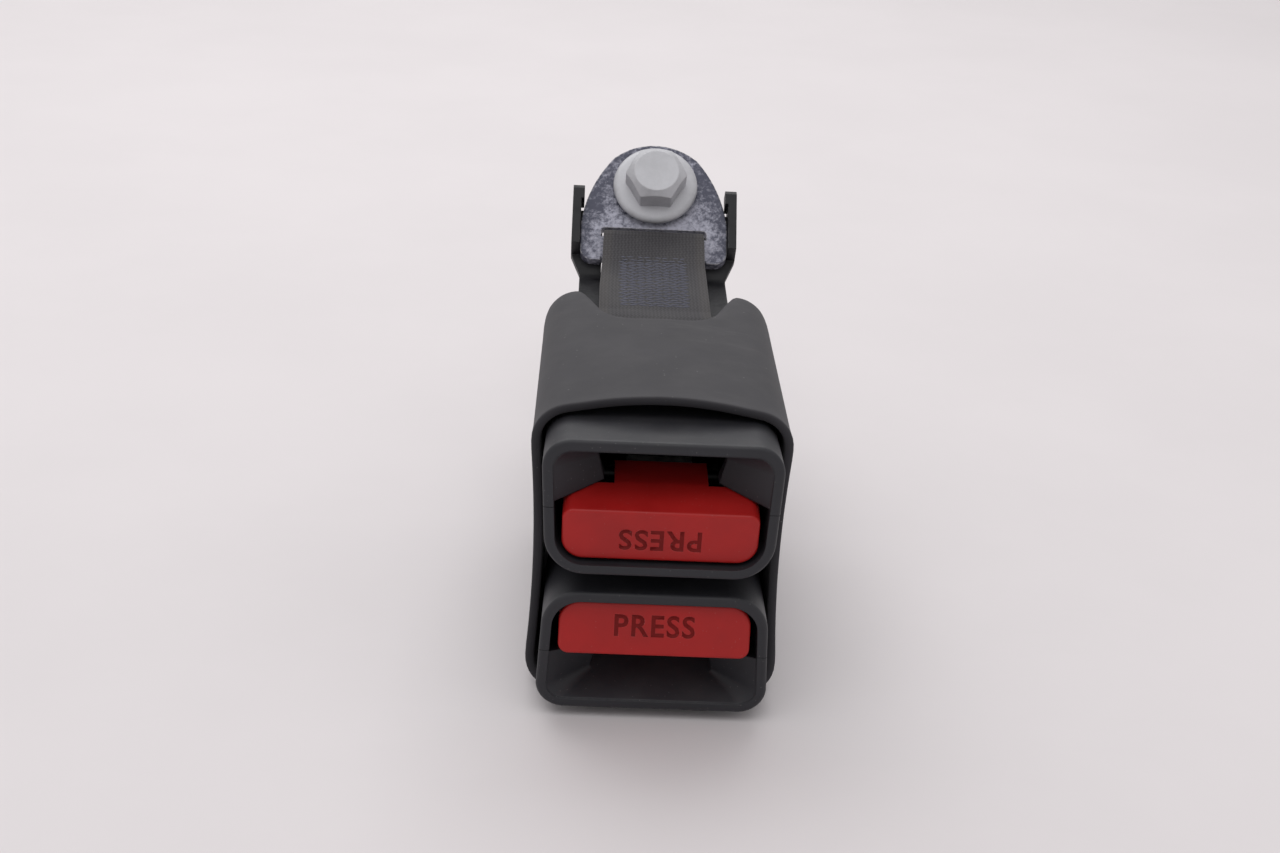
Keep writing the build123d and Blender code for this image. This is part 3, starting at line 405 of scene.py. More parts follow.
@dataclass(frozen=True)
class SharedEffects:
    """Node groups that several finishes use."""

    grain: bpy.types.NodeTree
    wear_and_highlight: bpy.types.NodeTree
    dust: bpy.types.NodeTree

    @staticmethod
    def new_group(name: str, inputs: dict, outputs: dict) -> tuple[bpy.types.NodeTree, Sheet, bpy.types.Node]:
        """Starts a shader node group.

        Args:
            name: The group's name.
            inputs: Socket type and start value by name.
            outputs: Socket type by name.

        Returns:
            The group, its sheet and its input node.
        """
        group = bpy.data.node_groups.new(name, "ShaderNodeTree")
        for key, (kind, value) in inputs.items():
            socket = group.interface.new_socket(key, in_out="INPUT", socket_type=kind)
            socket.default_value = value
        for key, kind in outputs.items():
            group.interface.new_socket(key, in_out="OUTPUT", socket_type=kind)
        sheet = Sheet(group)
        return group, sheet, sheet.add("NodeGroupInput")

    @classmethod
    def build(cls) -> "SharedEffects":
        """Builds all groups once.

        Returns:
            The groups.
        """
        return cls(cls.build_grain(), cls.build_wear_and_highlight(), cls.build_dust())

    @classmethod
    def build_grain(cls) -> bpy.types.NodeTree:
        """Moulded grain: a fine height and a slow shade.

        Returns:
            The group, with Height and Shade outputs.
        """
        group, sheet, given = cls.new_group(
            "moulded_grain",
            {"Scale": ("NodeSocketFloat", 4000.0), "Shade Scale": ("NodeSocketFloat", 60.0)},
            {"Height": "NodeSocketFloat", "Shade": "NodeSocketFloat"})
        place = sheet.add("TexCoord").outputs["Object"]
        fine = sheet.noise(place, given.outputs["Scale"], 2.0)
        slow = sheet.noise(place, given.outputs["Shade Scale"], 5.0, 0.6)
        sheet.add("NodeGroupOutput", {"Height": fine, "Shade": sheet.band(slow, 0.3, 0.7)})
        return group

    @classmethod
    def build_wear_and_highlight(cls) -> bpy.types.NodeTree:
        """Edge wear and painted highlight: a mask on turned edges, broken up by grit, which the finishes paint
        lighter as wear and as highlight, and a normal that rounds them.

        Returns:
            The group, with Mask and Normal outputs.
        """
        group, sheet, given = cls.new_group(
            "edge_wear_and_highlight", {"Radius": ("NodeSocketFloat", 0.0005), "Grit": ("NodeSocketFloat", 900.0)},
            {"Mask": "NodeSocketFloat", "Normal": "NodeSocketVector"})
        round_edge = sheet.add("Bevel", {"Radius": given.outputs["Radius"]}, samples=6).outputs[0]
        flat = sheet.add("NewGeometry").outputs["Normal"]
        dot = sheet.add("VectorMath", {0: round_edge, 1: flat}, operation="DOT_PRODUCT").outputs["Value"]
        place = sheet.add("TexCoord").outputs["Object"]
        grit = sheet.noise(place, given.outputs["Grit"], 4.0)
        edge = sheet.band(dot, 0.995, 0.86)
        mask = sheet.maths("MULTIPLY", edge, sheet.band(grit, 0.38, 0.62))
        sheet.add("NodeGroupOutput", {"Mask": mask, "Normal": round_edge})
        return group

    @classmethod
    def build_dust(cls) -> bpy.types.NodeTree:
        """Settled dust: specks and a film on what faces up.

        Returns:
            The group, with Specks and Film outputs.
        """
        group, sheet, given = cls.new_group(
            "settled_dust", {"Scale": ("NodeSocketFloat", 700.0), "Cover": ("NodeSocketFloat", 0.14)},
            {"Specks": "NodeSocketFloat", "Film": "NodeSocketFloat"})
        place = sheet.add("TexCoord").outputs["Object"]
        cells = sheet.add("TexVoronoi", {"Vector": place, "Scale": given.outputs["Scale"], "Randomness": 1.0})
        near = sheet.band(cells.outputs["Distance"], 0.16, 0.05)
        pick = sheet.add("SeparateColor", {0: cells.outputs["Color"]}).outputs[0]
        few = sheet.maths("LESS_THAN", pick, given.outputs["Cover"])
        specks = sheet.maths("MULTIPLY", near, few)
        slow = sheet.noise(place, 90.0, 6.0, 0.65)
        up = sheet.add("SeparateXYZ", {0: sheet.add("NewGeometry").outputs["Normal"]}).outputs[2]
        film = sheet.maths("MULTIPLY", sheet.band(slow, 0.35, 0.75), sheet.band(up, -0.1, 0.9))
        sheet.add("NodeGroupOutput", {"Specks": specks, "Film": film})
        return group


def start_material(name: str) -> tuple[bpy.types.Material, Sheet, bpy.types.Node]:
    """An empty material with its shader and output.

    Args:
        name: The material's name.

    Returns:
        The material, its sheet and its Principled node.
    """
    material = bpy.data.materials.new(name)
    material.use_nodes = True
    sheet = Sheet(material.node_tree)
    shader = sheet.add("BsdfPrincipled")
    sheet.add("OutputMaterial", {"Surface": shader.outputs[0]})
    return material, sheet, shader


@dataclass(frozen=True)
class PlasticFinish:
    """Moulded plastic with a fine spark-eroded grain, light dust, and edges painted lighter: partly rubbed
    wear, partly painted highlight on the rims.
    """

    name: str
    colour: Triple
    roughness: float = 0.48
    grain_scale: float = 3800.0
    grain_depth: float = 0.12
    edge_light: float = 0.16
    edge_gain: float = 0.04
    edge_radius: float = 0.0004
    dust_share: float = 0.03
    speck_share: float = 0.3
    speck_scale: float = 1300.0
    speck_cover: float = 0.22
    specular: float = 0.38

    def material(self, effects: SharedEffects) -> bpy.types.Material:
        """Builds the finish.

        Args:
            effects: The shared node groups.

        Returns:
            The material.
        """
        material, sheet, shader = start_material(self.name)
        grain = sheet.add("Group", {"Scale": self.grain_scale}, node_tree=effects.grain)
        wear_and_highlight = sheet.add("Group", {"Radius": self.edge_radius}, node_tree=effects.wear_and_highlight)
        dust = sheet.add("Group", {"Scale": self.speck_scale, "Cover": self.speck_cover},
                         node_tree=effects.dust)
        dark = tuple(c * 0.9 for c in self.colour)
        light = tuple(min(1.0, c * 1.1) for c in self.colour)
        base = sheet.blend(grain.outputs["Shade"], dark, light)
        # the turned edges are painted lighter: part rubbed wear, part painted highlight along rims and ridges
        rubbed_and_highlight = tuple(min(1.0, c * 1.5 + self.edge_gain) for c in self.colour)
        base = sheet.coat(base, rubbed_and_highlight, wear_and_highlight.outputs["Mask"], self.edge_light)
        base = sheet.coat(base, Colour.DUST, dust.outputs["Film"], self.dust_share)
        base = sheet.coat(base, Colour.DUST, dust.outputs["Specks"], self.speck_share)
        rough = sheet.band(grain.outputs["Shade"], 0.0, 1.0, self.roughness - 0.05, self.roughness + 0.06)
        bump = sheet.add("Bump", {"Height": grain.outputs["Height"], "Strength": self.grain_depth,
                                  "Distance": 0.0001, "Normal": wear_and_highlight.outputs["Normal"]})
        sheet.feed(shader, {"Base Color": base, "Roughness": rough, "Normal": bump.outputs[0],
                            "Specular IOR Level": self.specular})
        return material


@dataclass(frozen=True)
class RubberFinish:
    """Matt rubber with a soft bloom, faint rub marks and specks of dust."""

    name: str
    colour: Triple
    roughness: float = 0.72
    bloom: Triple = (0.12, 0.115, 0.11)

    def material(self, effects: SharedEffects) -> bpy.types.Material:
        """Builds the finish.

        Args:
            effects: The shared node groups.

        Returns:
            The material.
        """
        material, sheet, shader = start_material(self.name)
        place = sheet.add("TexCoord").outputs["Object"]
        grain = sheet.add("Group", {"Scale": 2600.0, "Shade Scale": 35.0}, node_tree=effects.grain)
        dust = sheet.add("Group", {"Cover": 0.1}, node_tree=effects.dust)
        base = sheet.blend(grain.outputs["Shade"], tuple(c * 0.9 for c in self.colour),
                           tuple(c * 1.1 for c in self.colour))
        rub = sheet.band(sheet.noise(place, 22.0, 7.0, 0.7, (1.0, 3.5, 1.0)), 0.56, 0.78)
        base = sheet.coat(base, self.bloom, rub, 0.1)
        base = sheet.coat(base, Colour.DUST, dust.outputs["Film"], 0.03)
        base = sheet.coat(base, Colour.DUST, dust.outputs["Specks"], 0.3)
        rough = sheet.band(rub, 0.0, 1.0, self.roughness, self.roughness - 0.1)
        bump = sheet.add("Bump", {"Height": grain.outputs["Height"], "Strength": 0.16, "Distance": 0.00012})
        sheet.feed(shader, {"Base Color": base, "Roughness": rough, "Normal": bump.outputs[0],
                            "Specular IOR Level": 0.28, "Sheen Weight": 0.05, "Sheen Roughness": 0.6})
        return material


@dataclass(frozen=True)
class SteelFinish:
    """Plated or painted steel with mottling, scratches and edges painted bright: partly wear, partly painted
    highlight.
    """

    name: str
    dark: Triple
    light: Triple
    metallic: float = 0.9
    roughness: float = 0.42
    mottle_scale: float = 220.0
    mottle_edge: Point2 = (0.42, 0.66)
    edge_light: float = 0.6
    edge_radius: float = 0.0005
    edge_colour: Triple = (0.62, 0.61, 0.60)
    frost_from: Optional[Triple] = None         # a place with more of the light tone, in metres
    frost_reach: float = 0.022
    frost_gain: Point2 = (0.07, -0.09)
    specular: float = 0.5

    def material(self, effects: SharedEffects) -> bpy.types.Material:
        """Builds the finish.

        Args:
            effects: The shared node groups.

        Returns:
            The material.
        """
        material, sheet, shader = start_material(self.name)
        place = sheet.add("TexCoord").outputs["Object"]
        wear_and_highlight = sheet.add("Group", {"Radius": self.edge_radius}, node_tree=effects.wear_and_highlight)
        warp = sheet.noise(place, self.mottle_scale, 8.0, 0.72)
        broad = sheet.noise(place, self.mottle_scale * 0.3, 4.0, 0.6)
        mix = sheet.maths("ADD", sheet.maths("MULTIPLY", warp, 0.65), sheet.maths("MULTIPLY", broad, 0.35))
        if self.frost_from is not None:
            away = sheet.add("VectorMath", {0: place, 1: self.frost_from},
                             operation="DISTANCE").outputs["Value"]
            frost = sheet.band(away, self.frost_reach * 0.4, self.frost_reach, *self.frost_gain)
            mix = sheet.maths("ADD", mix, frost)
        mottle = sheet.band(mix, *self.mottle_edge)
        base = sheet.blend(mottle, self.dark, self.light)
        # edges are painted towards edge_colour: part wear, part painted highlight on rounded edges
        base = sheet.coat(base, self.edge_colour, wear_and_highlight.outputs["Mask"], self.edge_light)
        rough = sheet.band(mottle, 0.0, 1.0, self.roughness - 0.06, self.roughness + 0.18)
        metal = sheet.band(mottle, 0.0, 1.0, self.metallic, self.metallic * 0.55)
        scratch = sheet.noise(place, 1500.0, 2.0, 0.5, (1.0, 0.08, 1.0))
        height = sheet.maths("ADD", sheet.maths("MULTIPLY", warp, 1.0), sheet.maths("MULTIPLY", scratch, 0.3))
        bump = sheet.add("Bump", {"Height": height, "Strength": 0.25, "Distance": 0.0002,
                                  "Normal": wear_and_highlight.outputs["Normal"]})
        sheet.feed(shader, {"Base Color": base, "Roughness": rough, "Metallic": metal,
                            "Normal": bump.outputs[0], "Specular IOR Level": self.specular})
        return material


@dataclass(frozen=True)
class WebbingFinish:
    """Belt webbing: twill ribs along the strap on the piece's own UV map, in millimetres."""

    name: str
    colour: Triple
    rib_pitch: float = 0.9
    pick_pitch: float = 0.7
    half_width: float = 13.0
    fuzz: Triple = (0.13, 0.125, 0.13)
    grime: Triple = (0.12, 0.115, 0.11)
    edge_grime: Triple = (0.085, 0.075, 0.065)

    def material(self, effects: SharedEffects) -> bpy.types.Material:
        """Builds the finish.

        Args:
            effects: The shared node groups.

        Returns:
            The material.
        """
        material, sheet, shader = start_material(self.name)
        place = sheet.add("TexCoord")
        axes = sheet.add("SeparateXYZ", {0: place.outputs["UV"]})
        across, along = axes.outputs[0], axes.outputs[1]
        turn = 2.0 * math.pi
        zig = sheet.maths("PINGPONG", along, 1.1)
        slant = sheet.maths("ADD", across, sheet.maths("MULTIPLY", zig, 0.35))
        rib = sheet.maths("SINE", sheet.maths("MULTIPLY", slant, turn / self.rib_pitch))
        pick = sheet.maths("SINE", sheet.maths("MULTIPLY", along, turn / self.pick_pitch))
        weave = sheet.maths("ADD", sheet.maths("MULTIPLY", rib, 0.35), sheet.maths("MULTIPLY", pick, 0.2))
        height = sheet.maths("ADD", weave, 0.5)
        fuzz = sheet.noise(place.outputs["Object"], 900.0, 6.0, 0.7)
        slow = sheet.noise(place.outputs["Object"], 70.0, 5.0, 0.6)
        base = sheet.blend(sheet.band(height, 0.1, 0.9), tuple(c * 0.75 for c in self.colour),
                           tuple(c * 1.2 for c in self.colour))
        base = sheet.coat(base, self.fuzz, sheet.band(fuzz, 0.5, 0.75), 0.15)
        base = sheet.coat(base, self.grime, sheet.band(slow, 0.4, 0.8), 0.18)
        edge = sheet.band(sheet.maths("ABSOLUTE", across), self.half_width - 2.6, self.half_width - 1.0)
        base = sheet.coat(base, self.edge_grime, edge, 0.2)
        bump = sheet.add("Bump", {"Height": height, "Strength": 0.45, "Distance": 0.0002})
        sheet.feed(shader, {"Base Color": base, "Normal": bump.outputs[0], "Roughness": 0.85,
                            "Specular IOR Level": 0.2, "Sheen Weight": 0.1, "Sheen Roughness": 0.5})
        return material


@dataclass(frozen=True)
class Finishes:
    """All materials of the part."""

    housing: bpy.types.Material
    button: bpy.types.Material
    sunken_word_painted_shade: bpy.types.Material
    acetal: bpy.types.Material
    nylon: bpy.types.Material
    rubber: bpy.types.Material
    webbing: bpy.types.Material
    thread: bpy.types.Material
    frame_steel: bpy.types.Material
    bright_steel: bpy.types.Material
    zinc_plate: bpy.types.Material
    black_paint: bpy.types.Material
    bolt: bpy.types.Material
    washer: bpy.types.Material

    @classmethod
    def build(cls) -> "Finishes":
        """Builds every finish once.

        Returns:
            The materials.
        """
        effects = SharedEffects.build()
        frost_from = tuple(stack_to_row() @ anchor_place() @ Vector((0, 1, 0)))
        recipes = {
            "housing": PlasticFinish("housing_plastic", Colour.CHARCOAL),
            # the button's edges get a strong light pink: a painted highlight along its ridge and rims
            "button": PlasticFinish("button_plastic", Colour.RED, roughness=0.4, grain_scale=5200.0,
                                    grain_depth=0.05, edge_light=0.45, edge_gain=0.10, dust_share=0.008,
                                    speck_share=0.2, specular=0.34),
            # the letters' floors are painted a darker red: painted shade in the sunken letters
            "sunken_word_painted_shade": PlasticFinish("sunken_word_painted_shade", tuple(c * 0.45 for c in Colour.RED), roughness=0.6,
                                         edge_light=0.0, dust_share=0.01, specular=0.2),
            "acetal": PlasticFinish("acetal", (0.02, 0.02, 0.022), roughness=0.35),
            "nylon": PlasticFinish("nylon", Colour.NYLON, roughness=0.5),
            "rubber": RubberFinish("boot_rubber", Colour.BOOT),
            "webbing": WebbingFinish("belt_webbing", Colour.WEBBING),
            "thread": RubberFinish("stitch_thread", Colour.THREAD, roughness=0.8),
            # darker than the bright steel: painted shade for the frame, lock bar and latch deep inside the
            # housing
            "frame_steel": SteelFinish("frame_steel", (0.10, 0.10, 0.10), Colour.STEEL, roughness=0.42),
            "bright_steel": SteelFinish("bright_steel", (0.22, 0.22, 0.22), (0.32, 0.32, 0.32),
                                        roughness=0.35),
            # the plate's edges are painted bright: partly worn zinc, partly a painted highlight on its rounded
            # lower edge
            "zinc_plate": SteelFinish("zinc_plate", Colour.ZINC_DARK, Colour.ZINC_FROST, metallic=0.4,
                                      roughness=0.5, edge_light=0.8, mottle_scale=900.0,
                                      mottle_edge=(0.38, 0.64), frost_from=frost_from),
            "black_paint": SteelFinish("black_paint", Colour.BLACK_PAINT, (0.016, 0.016, 0.018), metallic=0.0,
                                       roughness=0.5, edge_light=0.35, edge_colour=(0.16, 0.16, 0.16),
                                       specular=0.3),
            "bolt": SteelFinish("bolt_zinc", (0.40, 0.40, 0.42), Colour.BOLT, metallic=0.45, roughness=0.5,
                                mottle_scale=90.0, mottle_edge=(0.35, 0.7), edge_light=0.4),
            "washer": SteelFinish("washer_steel", (0.05, 0.05, 0.055), (0.09, 0.09, 0.1), metallic=0.8),
        }
        return cls(**{key: recipe.material(effects) for key, recipe in recipes.items()})


# --------------------------------------------------------------------------- sub-assemblies
@dataclass
class Coil:
    """A closed-end coil spring of round wire."""

    radius: float
    length: float
    turns: float
    wire: float = 0.7
    steps_per_turn: int = 20
    wire_sides: int = 8

    def mesh(self) -> bmesh.types.BMesh:
        """Builds the coil along +Z from 0 to its length.

        Returns:
            The coil in millimetres.
        """
        bm = bmesh.new()
        middle = self.radius - self.wire / 2
        upright = Matrix.Translation((middle, 0, self.wire / 2)) @ Matrix.Rotation(math.pi / 2, 4, "X")
        bmesh.ops.create_circle(bm, cap_ends=True, segments=self.wire_sides, radius=self.wire / 2,
                                matrix=upright)
        steps = int(self.turns * self.steps_per_turn)
        rise = (self.length - self.wire) / steps
        bmesh.ops.spin(bm, geom=everything(bm), cent=(0, 0, 0), axis=(0, 0, 1), dvec=(0, 0, rise),
                       angle=2 * math.pi * self.turns, steps=steps, use_duplicate=False)
        bmesh.ops.recalc_face_normals(bm, faces=bm.faces)
        return bm


@dataclass
class Buckle:
    """One push-button buckle of the stack, in its own frame with +Z towards the tongue slot."""

    finishes: Finishes
    side: Side
    button_spring_x: float = 11.5
    button_spring_z: float = -7.2
    button_spring_y: Point2 = (3.8, 24.0)
    button_travel: float = 6.3
    ejector_spring_y: Point2 = (33.0, 62.0)
    ejector_spring_z: float = 4.4
    ejector_travel: float = 16.0
    latch_spring_y: float = 42.7
    latch_spring_z: Point2 = (-12.0, -4.0)
    spring_radius: float = 2.4
    word: str = "PRESS"                      # a plain instruction, as ON and OFF are
    word_width: float = 16.8
    word_height: float = 5.0
    word_depth: float = 0.35
    word_z: float = -6.7
    word_solid: Point2 = (0.12, 0.02)        # the letters' half depth and swelling before they are fitted
    word_spacing: float = 1.12
    face_y: float = 0.4                      # depth of the pressing face at the buckle's own plane
    face_lean: float = 1.6 / 12.6            # how far the pressing face falls back per mm

    def name(self, piece: str) -> str:
        """The piece's name on this buckle."""
        return f"{self.side.value}_{piece}"

    def build(self) -> None:
        """Builds and dresses the buckle."""
        self.dress()
        self.build_springs()
        self.build_button()

    def dress(self) -> None:
        """Gives the solids that stay their finishes."""
        worn = {"slot_cover": self.finishes.housing, "button_cover": self.finishes.housing,
                "frame": self.finishes.frame_steel, "lock_bar": self.finishes.frame_steel,
                "latch": self.finishes.frame_steel, "latch_pin": self.finishes.bright_steel,
                "ejector": self.finishes.acetal}
        for piece, material in worn.items():
            dress_node(self.name(piece), material)

    def build_springs(self) -> None:
        """Builds the button's two springs, the ejector's and the latch's."""
        start, end = self.button_spring_y
        along = Matrix.Rotation(-math.pi / 2, 4, "X")
        pair = bmesh.new()
        for side in (-1, 1):
            place = Matrix.Translation((side * self.button_spring_x, start, self.button_spring_z)) @ along
            part = closed_mesh(self.coil(end - start, 7.0, place), "coil_part")
            pair.from_mesh(part)
            bpy.data.meshes.remove(part)
        piece = self.seat_coil(pair, "button_coils", "button_springs")
        self.squeeze(piece, "button_press")

        start, end = self.ejector_spring_y
        place = Matrix.Translation((0, start, self.ejector_spring_z)) @ along
        piece = self.seat_coil(self.coil(end - start, 10.0, place), "ejector_coil", "ejector_spring")
        self.squeeze(piece, "ejector_slide")

        low, high = self.latch_spring_z
        place = Matrix.Translation((0, self.latch_spring_y, low))
        self.seat_coil(self.coil(high - low, 5.0, place), "latch_coil", "latch_spring")

    def coil(self, length: float, turns: float, place: Matrix) -> bmesh.types.BMesh:
        """Builds one coil in its place on the buckle.

        Args:
            length: Its length.
            turns: Its turns.
            place: Its place on the buckle.

        Returns:
            The coil in millimetres.
        """
        bm = Coil(self.spring_radius, length, turns).mesh()
        bmesh.ops.transform(bm, verts=bm.verts, matrix=place)
        return bm

    def seat_coil(self, bm: bmesh.types.BMesh, name: str, node: str) -> bpy.types.Object:
        """Makes a spring of a finished coil.

        Args:
            bm: The coil or coils.
            name: The spring's name without the buckle's.
            node: The node that it stands for, likewise.

        Returns:
            The spring in place.
        """
        piece = place_piece(bm, self.name(name), buckle_place(self.side))
        settle(piece, "buckle_stack", self.finishes.bright_steel, [self.name(node)])
        return piece

    def squeeze(self, piece: bpy.types.Object, joint: str) -> None:
        """Gives a spring its own copy of its mesh; the spring does not follow its joint, whose name is only
        built.
        """
        self.name(joint)
        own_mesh(piece)

    def word_mesh(self) -> bpy.types.Object:
        """The word as a solid that lies across the pressing face, to be cut out of it.

        Returns:
            The solid, in the row frame.
        """
        curve = bpy.data.curves.new(self.name("word"), "FONT")
        curve.body = self.word
        curve.align_x = "CENTER"
        curve.align_y = "CENTER"
        curve.extrude, curve.offset = self.word_solid
        curve.resolution_u = 4
        curve.space_character = self.word_spacing
        text = add_object(self.name("word"), curve)
        bpy.context.view_layer.update()
        graph = bpy.context.evaluated_depsgraph_get()
        mesh = bpy.data.meshes.new_from_object(text.evaluated_get(graph))
        bpy.data.objects.remove(text)
        bm = bmesh.new()
        bm.from_mesh(mesh)
        bmesh.ops.remove_doubles(bm, verts=bm.verts, dist=1e-5)
        low, high = (Vector([pick(v.co[i] for v in bm.verts) for i in range(3)]) for pick in (min, max))
        size, middle = high - low, (high + low) / 2
        scale = Matrix.Diagonal((self.word_width / size.x, self.word_height / size.y,
                                 2 * self.word_depth / size.z, 1))
        lean = math.atan(self.face_lean)
        face_y = self.face_y - self.word_z * self.face_lean
        # the letters stand with their heads towards the foot of the face and read from the front
        turn = Matrix(((-1, 0, 0, 0), (0, 0, -1, 0), (0, -1, 0, 0), (0, 0, 0, 1)))
        place = (Matrix.Translation((0, face_y, self.word_z)) @ Matrix.Rotation(lean, 4, "X") @ turn @ scale
                 @ Matrix.Translation(-middle))
        bmesh.ops.transform(bm, matrix=place, verts=bm.verts)
        bmesh.ops.recalc_face_normals(bm, faces=bm.faces)
        return place_piece(bm, self.name("word_cutter"), buckle_place(self.side))

    def build_button(self) -> None:
        """Sinks the word into a copy of the button, which stands for the plain one."""
        cap = merged_copy(self.name("button"), self.name("button_cap"))
        cap.data.materials.append(self.finishes.button)
        cutter = self.word_mesh()
        # the cutter gives its darker red to the letters' floors, as painted shade
        cutter.data.materials.append(self.finishes.sunken_word_painted_shade)
        add_modifier(cap, "BOOLEAN", operation="DIFFERENCE", object=cutter, solver="EXACT",
                     material_mode="TRANSFER")
        bake_modifiers(cap)
        bpy.data.objects.remove(cutter)
        smooth(cap.data, 30.0)
        add_modifier(cap, "WEIGHTED_NORMAL", mode="FACE_AREA", weight=100, keep_sharp=True)
        bake_modifiers(cap)
        settle(cap, self.name("push"), None, [self.name("button")])


def dress_node(node: str, material: bpy.types.Material) -> None:
    """Gives a solid that stays its finish."""
    wear_only(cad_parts[node], material)
    LOG.info("%s dressed in %s", node, material.name)


@dataclass
class Boot:
    """The rubber boot: a waisted sleeve with a soft rear end, a notch for the webbing and a web inside."""

    finishes: Finishes
    width: float = 54.1
    top: float = 67.95
    front: float = BOOT_FRONT
    rear: float = 95.0
    wall: float = 1.9
    corner: float = 8.2
    waist: float = 1.2
    side_taper: float = 0.2
    shoulder_fall: float = 3.3
    front_crown: float = 2.3
    rear_crown: float = 1.0
    rear_round: float = 5.5
    rear_steps: int = 5
    opening_half: float = 18.5
    sill: float = 6.0
    header: float = 1.5                         # least height of the rear wall over the opening
    opening_tuck: float = 0.4                   # how much wider the opening is above the web
    notch_y: float = 68.4
    notch_half: Point2 = (11.0, 19.5)
    notch_r: float = 8.0
    notch_support: float = 1.6                  # a row this far before the notch keeps its edge crisp
    web_y: Point2 = (27.0, 62.0)
    web_z: float = 34.05
    web_thickness: float = 4.6
    web_round: float = 1.6
    web_root: float = 0.3                       # how far the web reaches into the walls
    lip_bead: float = 0.25
    lip_reach: float = 4.0
    runs: tuple[int, ...] = (6, 5, 10, 8, 8)     # columns: underside, corner, flank, shoulder, roof
    stations: tuple[float, ...] = (15.6, 17.0, 19.5, 24.0, 31.0, 38.0, 45.0, 52.0, 58.0, 61.5, 64.5)
    rear_stations: tuple[float, ...] = (77.0, 81.0, 85.5)

    def half_outline(self, y: float, inset: float, samples: int = 24) -> list[Vector]:
        """The right half of the outline from the underside's middle to the roof's.

        Args:
            y: Depth of the section.
            inset: How far it is drawn inwards.
            samples: Points on each curved run.

        Returns:
            Points (x, z), close together.
        """
        share = (y - self.front) / (self.rear - self.front)
        half = self.width / 2 - self.side_taper * share - inset
        top = self.top - self.shoulder_fall * share - inset
        crown = self.front_crown + (self.rear_crown - self.front_crown) * share
        r = max(self.corner - inset, 0.5)
        points = [Vector((0.0, inset)), Vector((half - r, inset))]
        for i in range(1, samples + 1):
            a = math.pi / 2 * i / samples
            points.append(Vector((half - r + r * math.sin(a), inset + r - r * math.cos(a))))
        low, high = inset + r, top - r
        for i in range(1, samples + 1):
            t = i / samples
            points.append(Vector((half - self.waist * 4 * t * (1 - t), low + (high - low) * t)))
        for i in range(1, samples + 1):
            a = math.pi / 2 * i / samples
            points.append(Vector((half - r + r * math.cos(a), top - r + r * math.sin(a))))
        for i in range(1, samples + 1):
            x = (half - r) * (1 - i / samples)
            points.append(Vector((x, top + crown * (1 - (x / (half - r)) ** 2))))
        return points

    def column(self, index: int, y: float, inset: float) -> Vector:
        """Where one column of the boot's mesh runs at a depth.

        Args:
            index: Column from the underside's middle, positive to the right.
            y: Depth.
            inset: How far the outline is drawn inwards.

        Returns:
            The point in stack millimetres.
        """
        points = self.half_outline(y, inset)
        lengths = [0.0]
        for a, b in zip(points, points[1:]):
            lengths.append(lengths[-1] + (b - a).length)
        samples = (len(points) - 2) // 4
        marks = [0.0] + [lengths[1 + samples * k] for k in range(4)]
        notch = self.notch_x(max(y, self.notch_end()))
        cut = next(i for i in range(1 + 3 * samples, len(points)) if points[i].x <= notch)
        step = (points[cut - 1].x - notch) / max(points[cut - 1].x - points[cut].x, 1e-9)
        marks[4:] = [lengths[cut - 1] + step * (lengths[cut] - lengths[cut - 1]), lengths[-1]]
        # marks: underside middle, its end, corner's end, flank's end, notch, roof middle
        number, run = abs(index), 0
        while run < len(self.runs) - 1 and number > self.runs[run]:
            number -= self.runs[run]
            run += 1
        distance = marks[run] + (marks[run + 1] - marks[run]) * number / self.runs[run]
        k = next((i for i, value in enumerate(lengths) if value >= distance), len(lengths) - 1)
        if k == 0:
            point = points[0]
        else:
            span = max(lengths[k] - lengths[k - 1], 1e-9)
            point = points[k - 1].lerp(points[k], (distance - lengths[k - 1]) / span)
        return Vector((math.copysign(point.x, index) if index else point.x, y, max(point.y, 0.0)))

    def notch_x(self, y: float) -> float:
        """Half the notch's width at a depth, without its round corners."""
        near, far = self.notch_half
        return near + (far - near) * (y - self.notch_y) / (self.rear + 1 - self.notch_y)

    def notch_lean(self) -> float:
        """How far the notch's sides lean outwards, in radians."""
        return math.atan((self.notch_half[1] - self.notch_half[0]) / (self.rear + 1 - self.notch_y))

    def notch_tangent(self) -> float:
        """How far the notch's round corner reaches along its sides."""
        return self.notch_r * math.tan((math.pi / 2 - self.notch_lean()) / 2)

    def notch_end(self) -> float:
        """Depth at which the notch's round corners end."""
        return self.notch_y + self.notch_tangent() * math.cos(self.notch_lean())

    def notch_bottom(self, x: float) -> float:
        """Depth of the notch's bottom edge.

        Args:
            x: Distance from the boot's middle.

        Returns:
            The edge's depth there.
        """
        off = abs(x) - (self.notch_half[0] - self.notch_tangent())
        if off <= 0:
            return self.notch_y
        return self.notch_y + self.notch_r - math.sqrt(max(self.notch_r ** 2 - off ** 2, 0.0))

    def opening_point(self, start: Vector) -> Vector:
        """The point of the rear opening's edge that a column of the rear wall ends at.

        Args:
            start: The column's point on the rear wall's outer edge.

        Returns:
            The point on the opening's edge.
        """
        x = max(-self.opening_half, min(self.opening_half, start.x))
        z = max(self.sill, min(start.z - self.header, self.top))
        if abs(start.x) < self.opening_half and start.z > self.web_z:
            x = math.copysign(self.opening_half + self.opening_tuck, start.x)
        return Vector((x, self.rear, z))

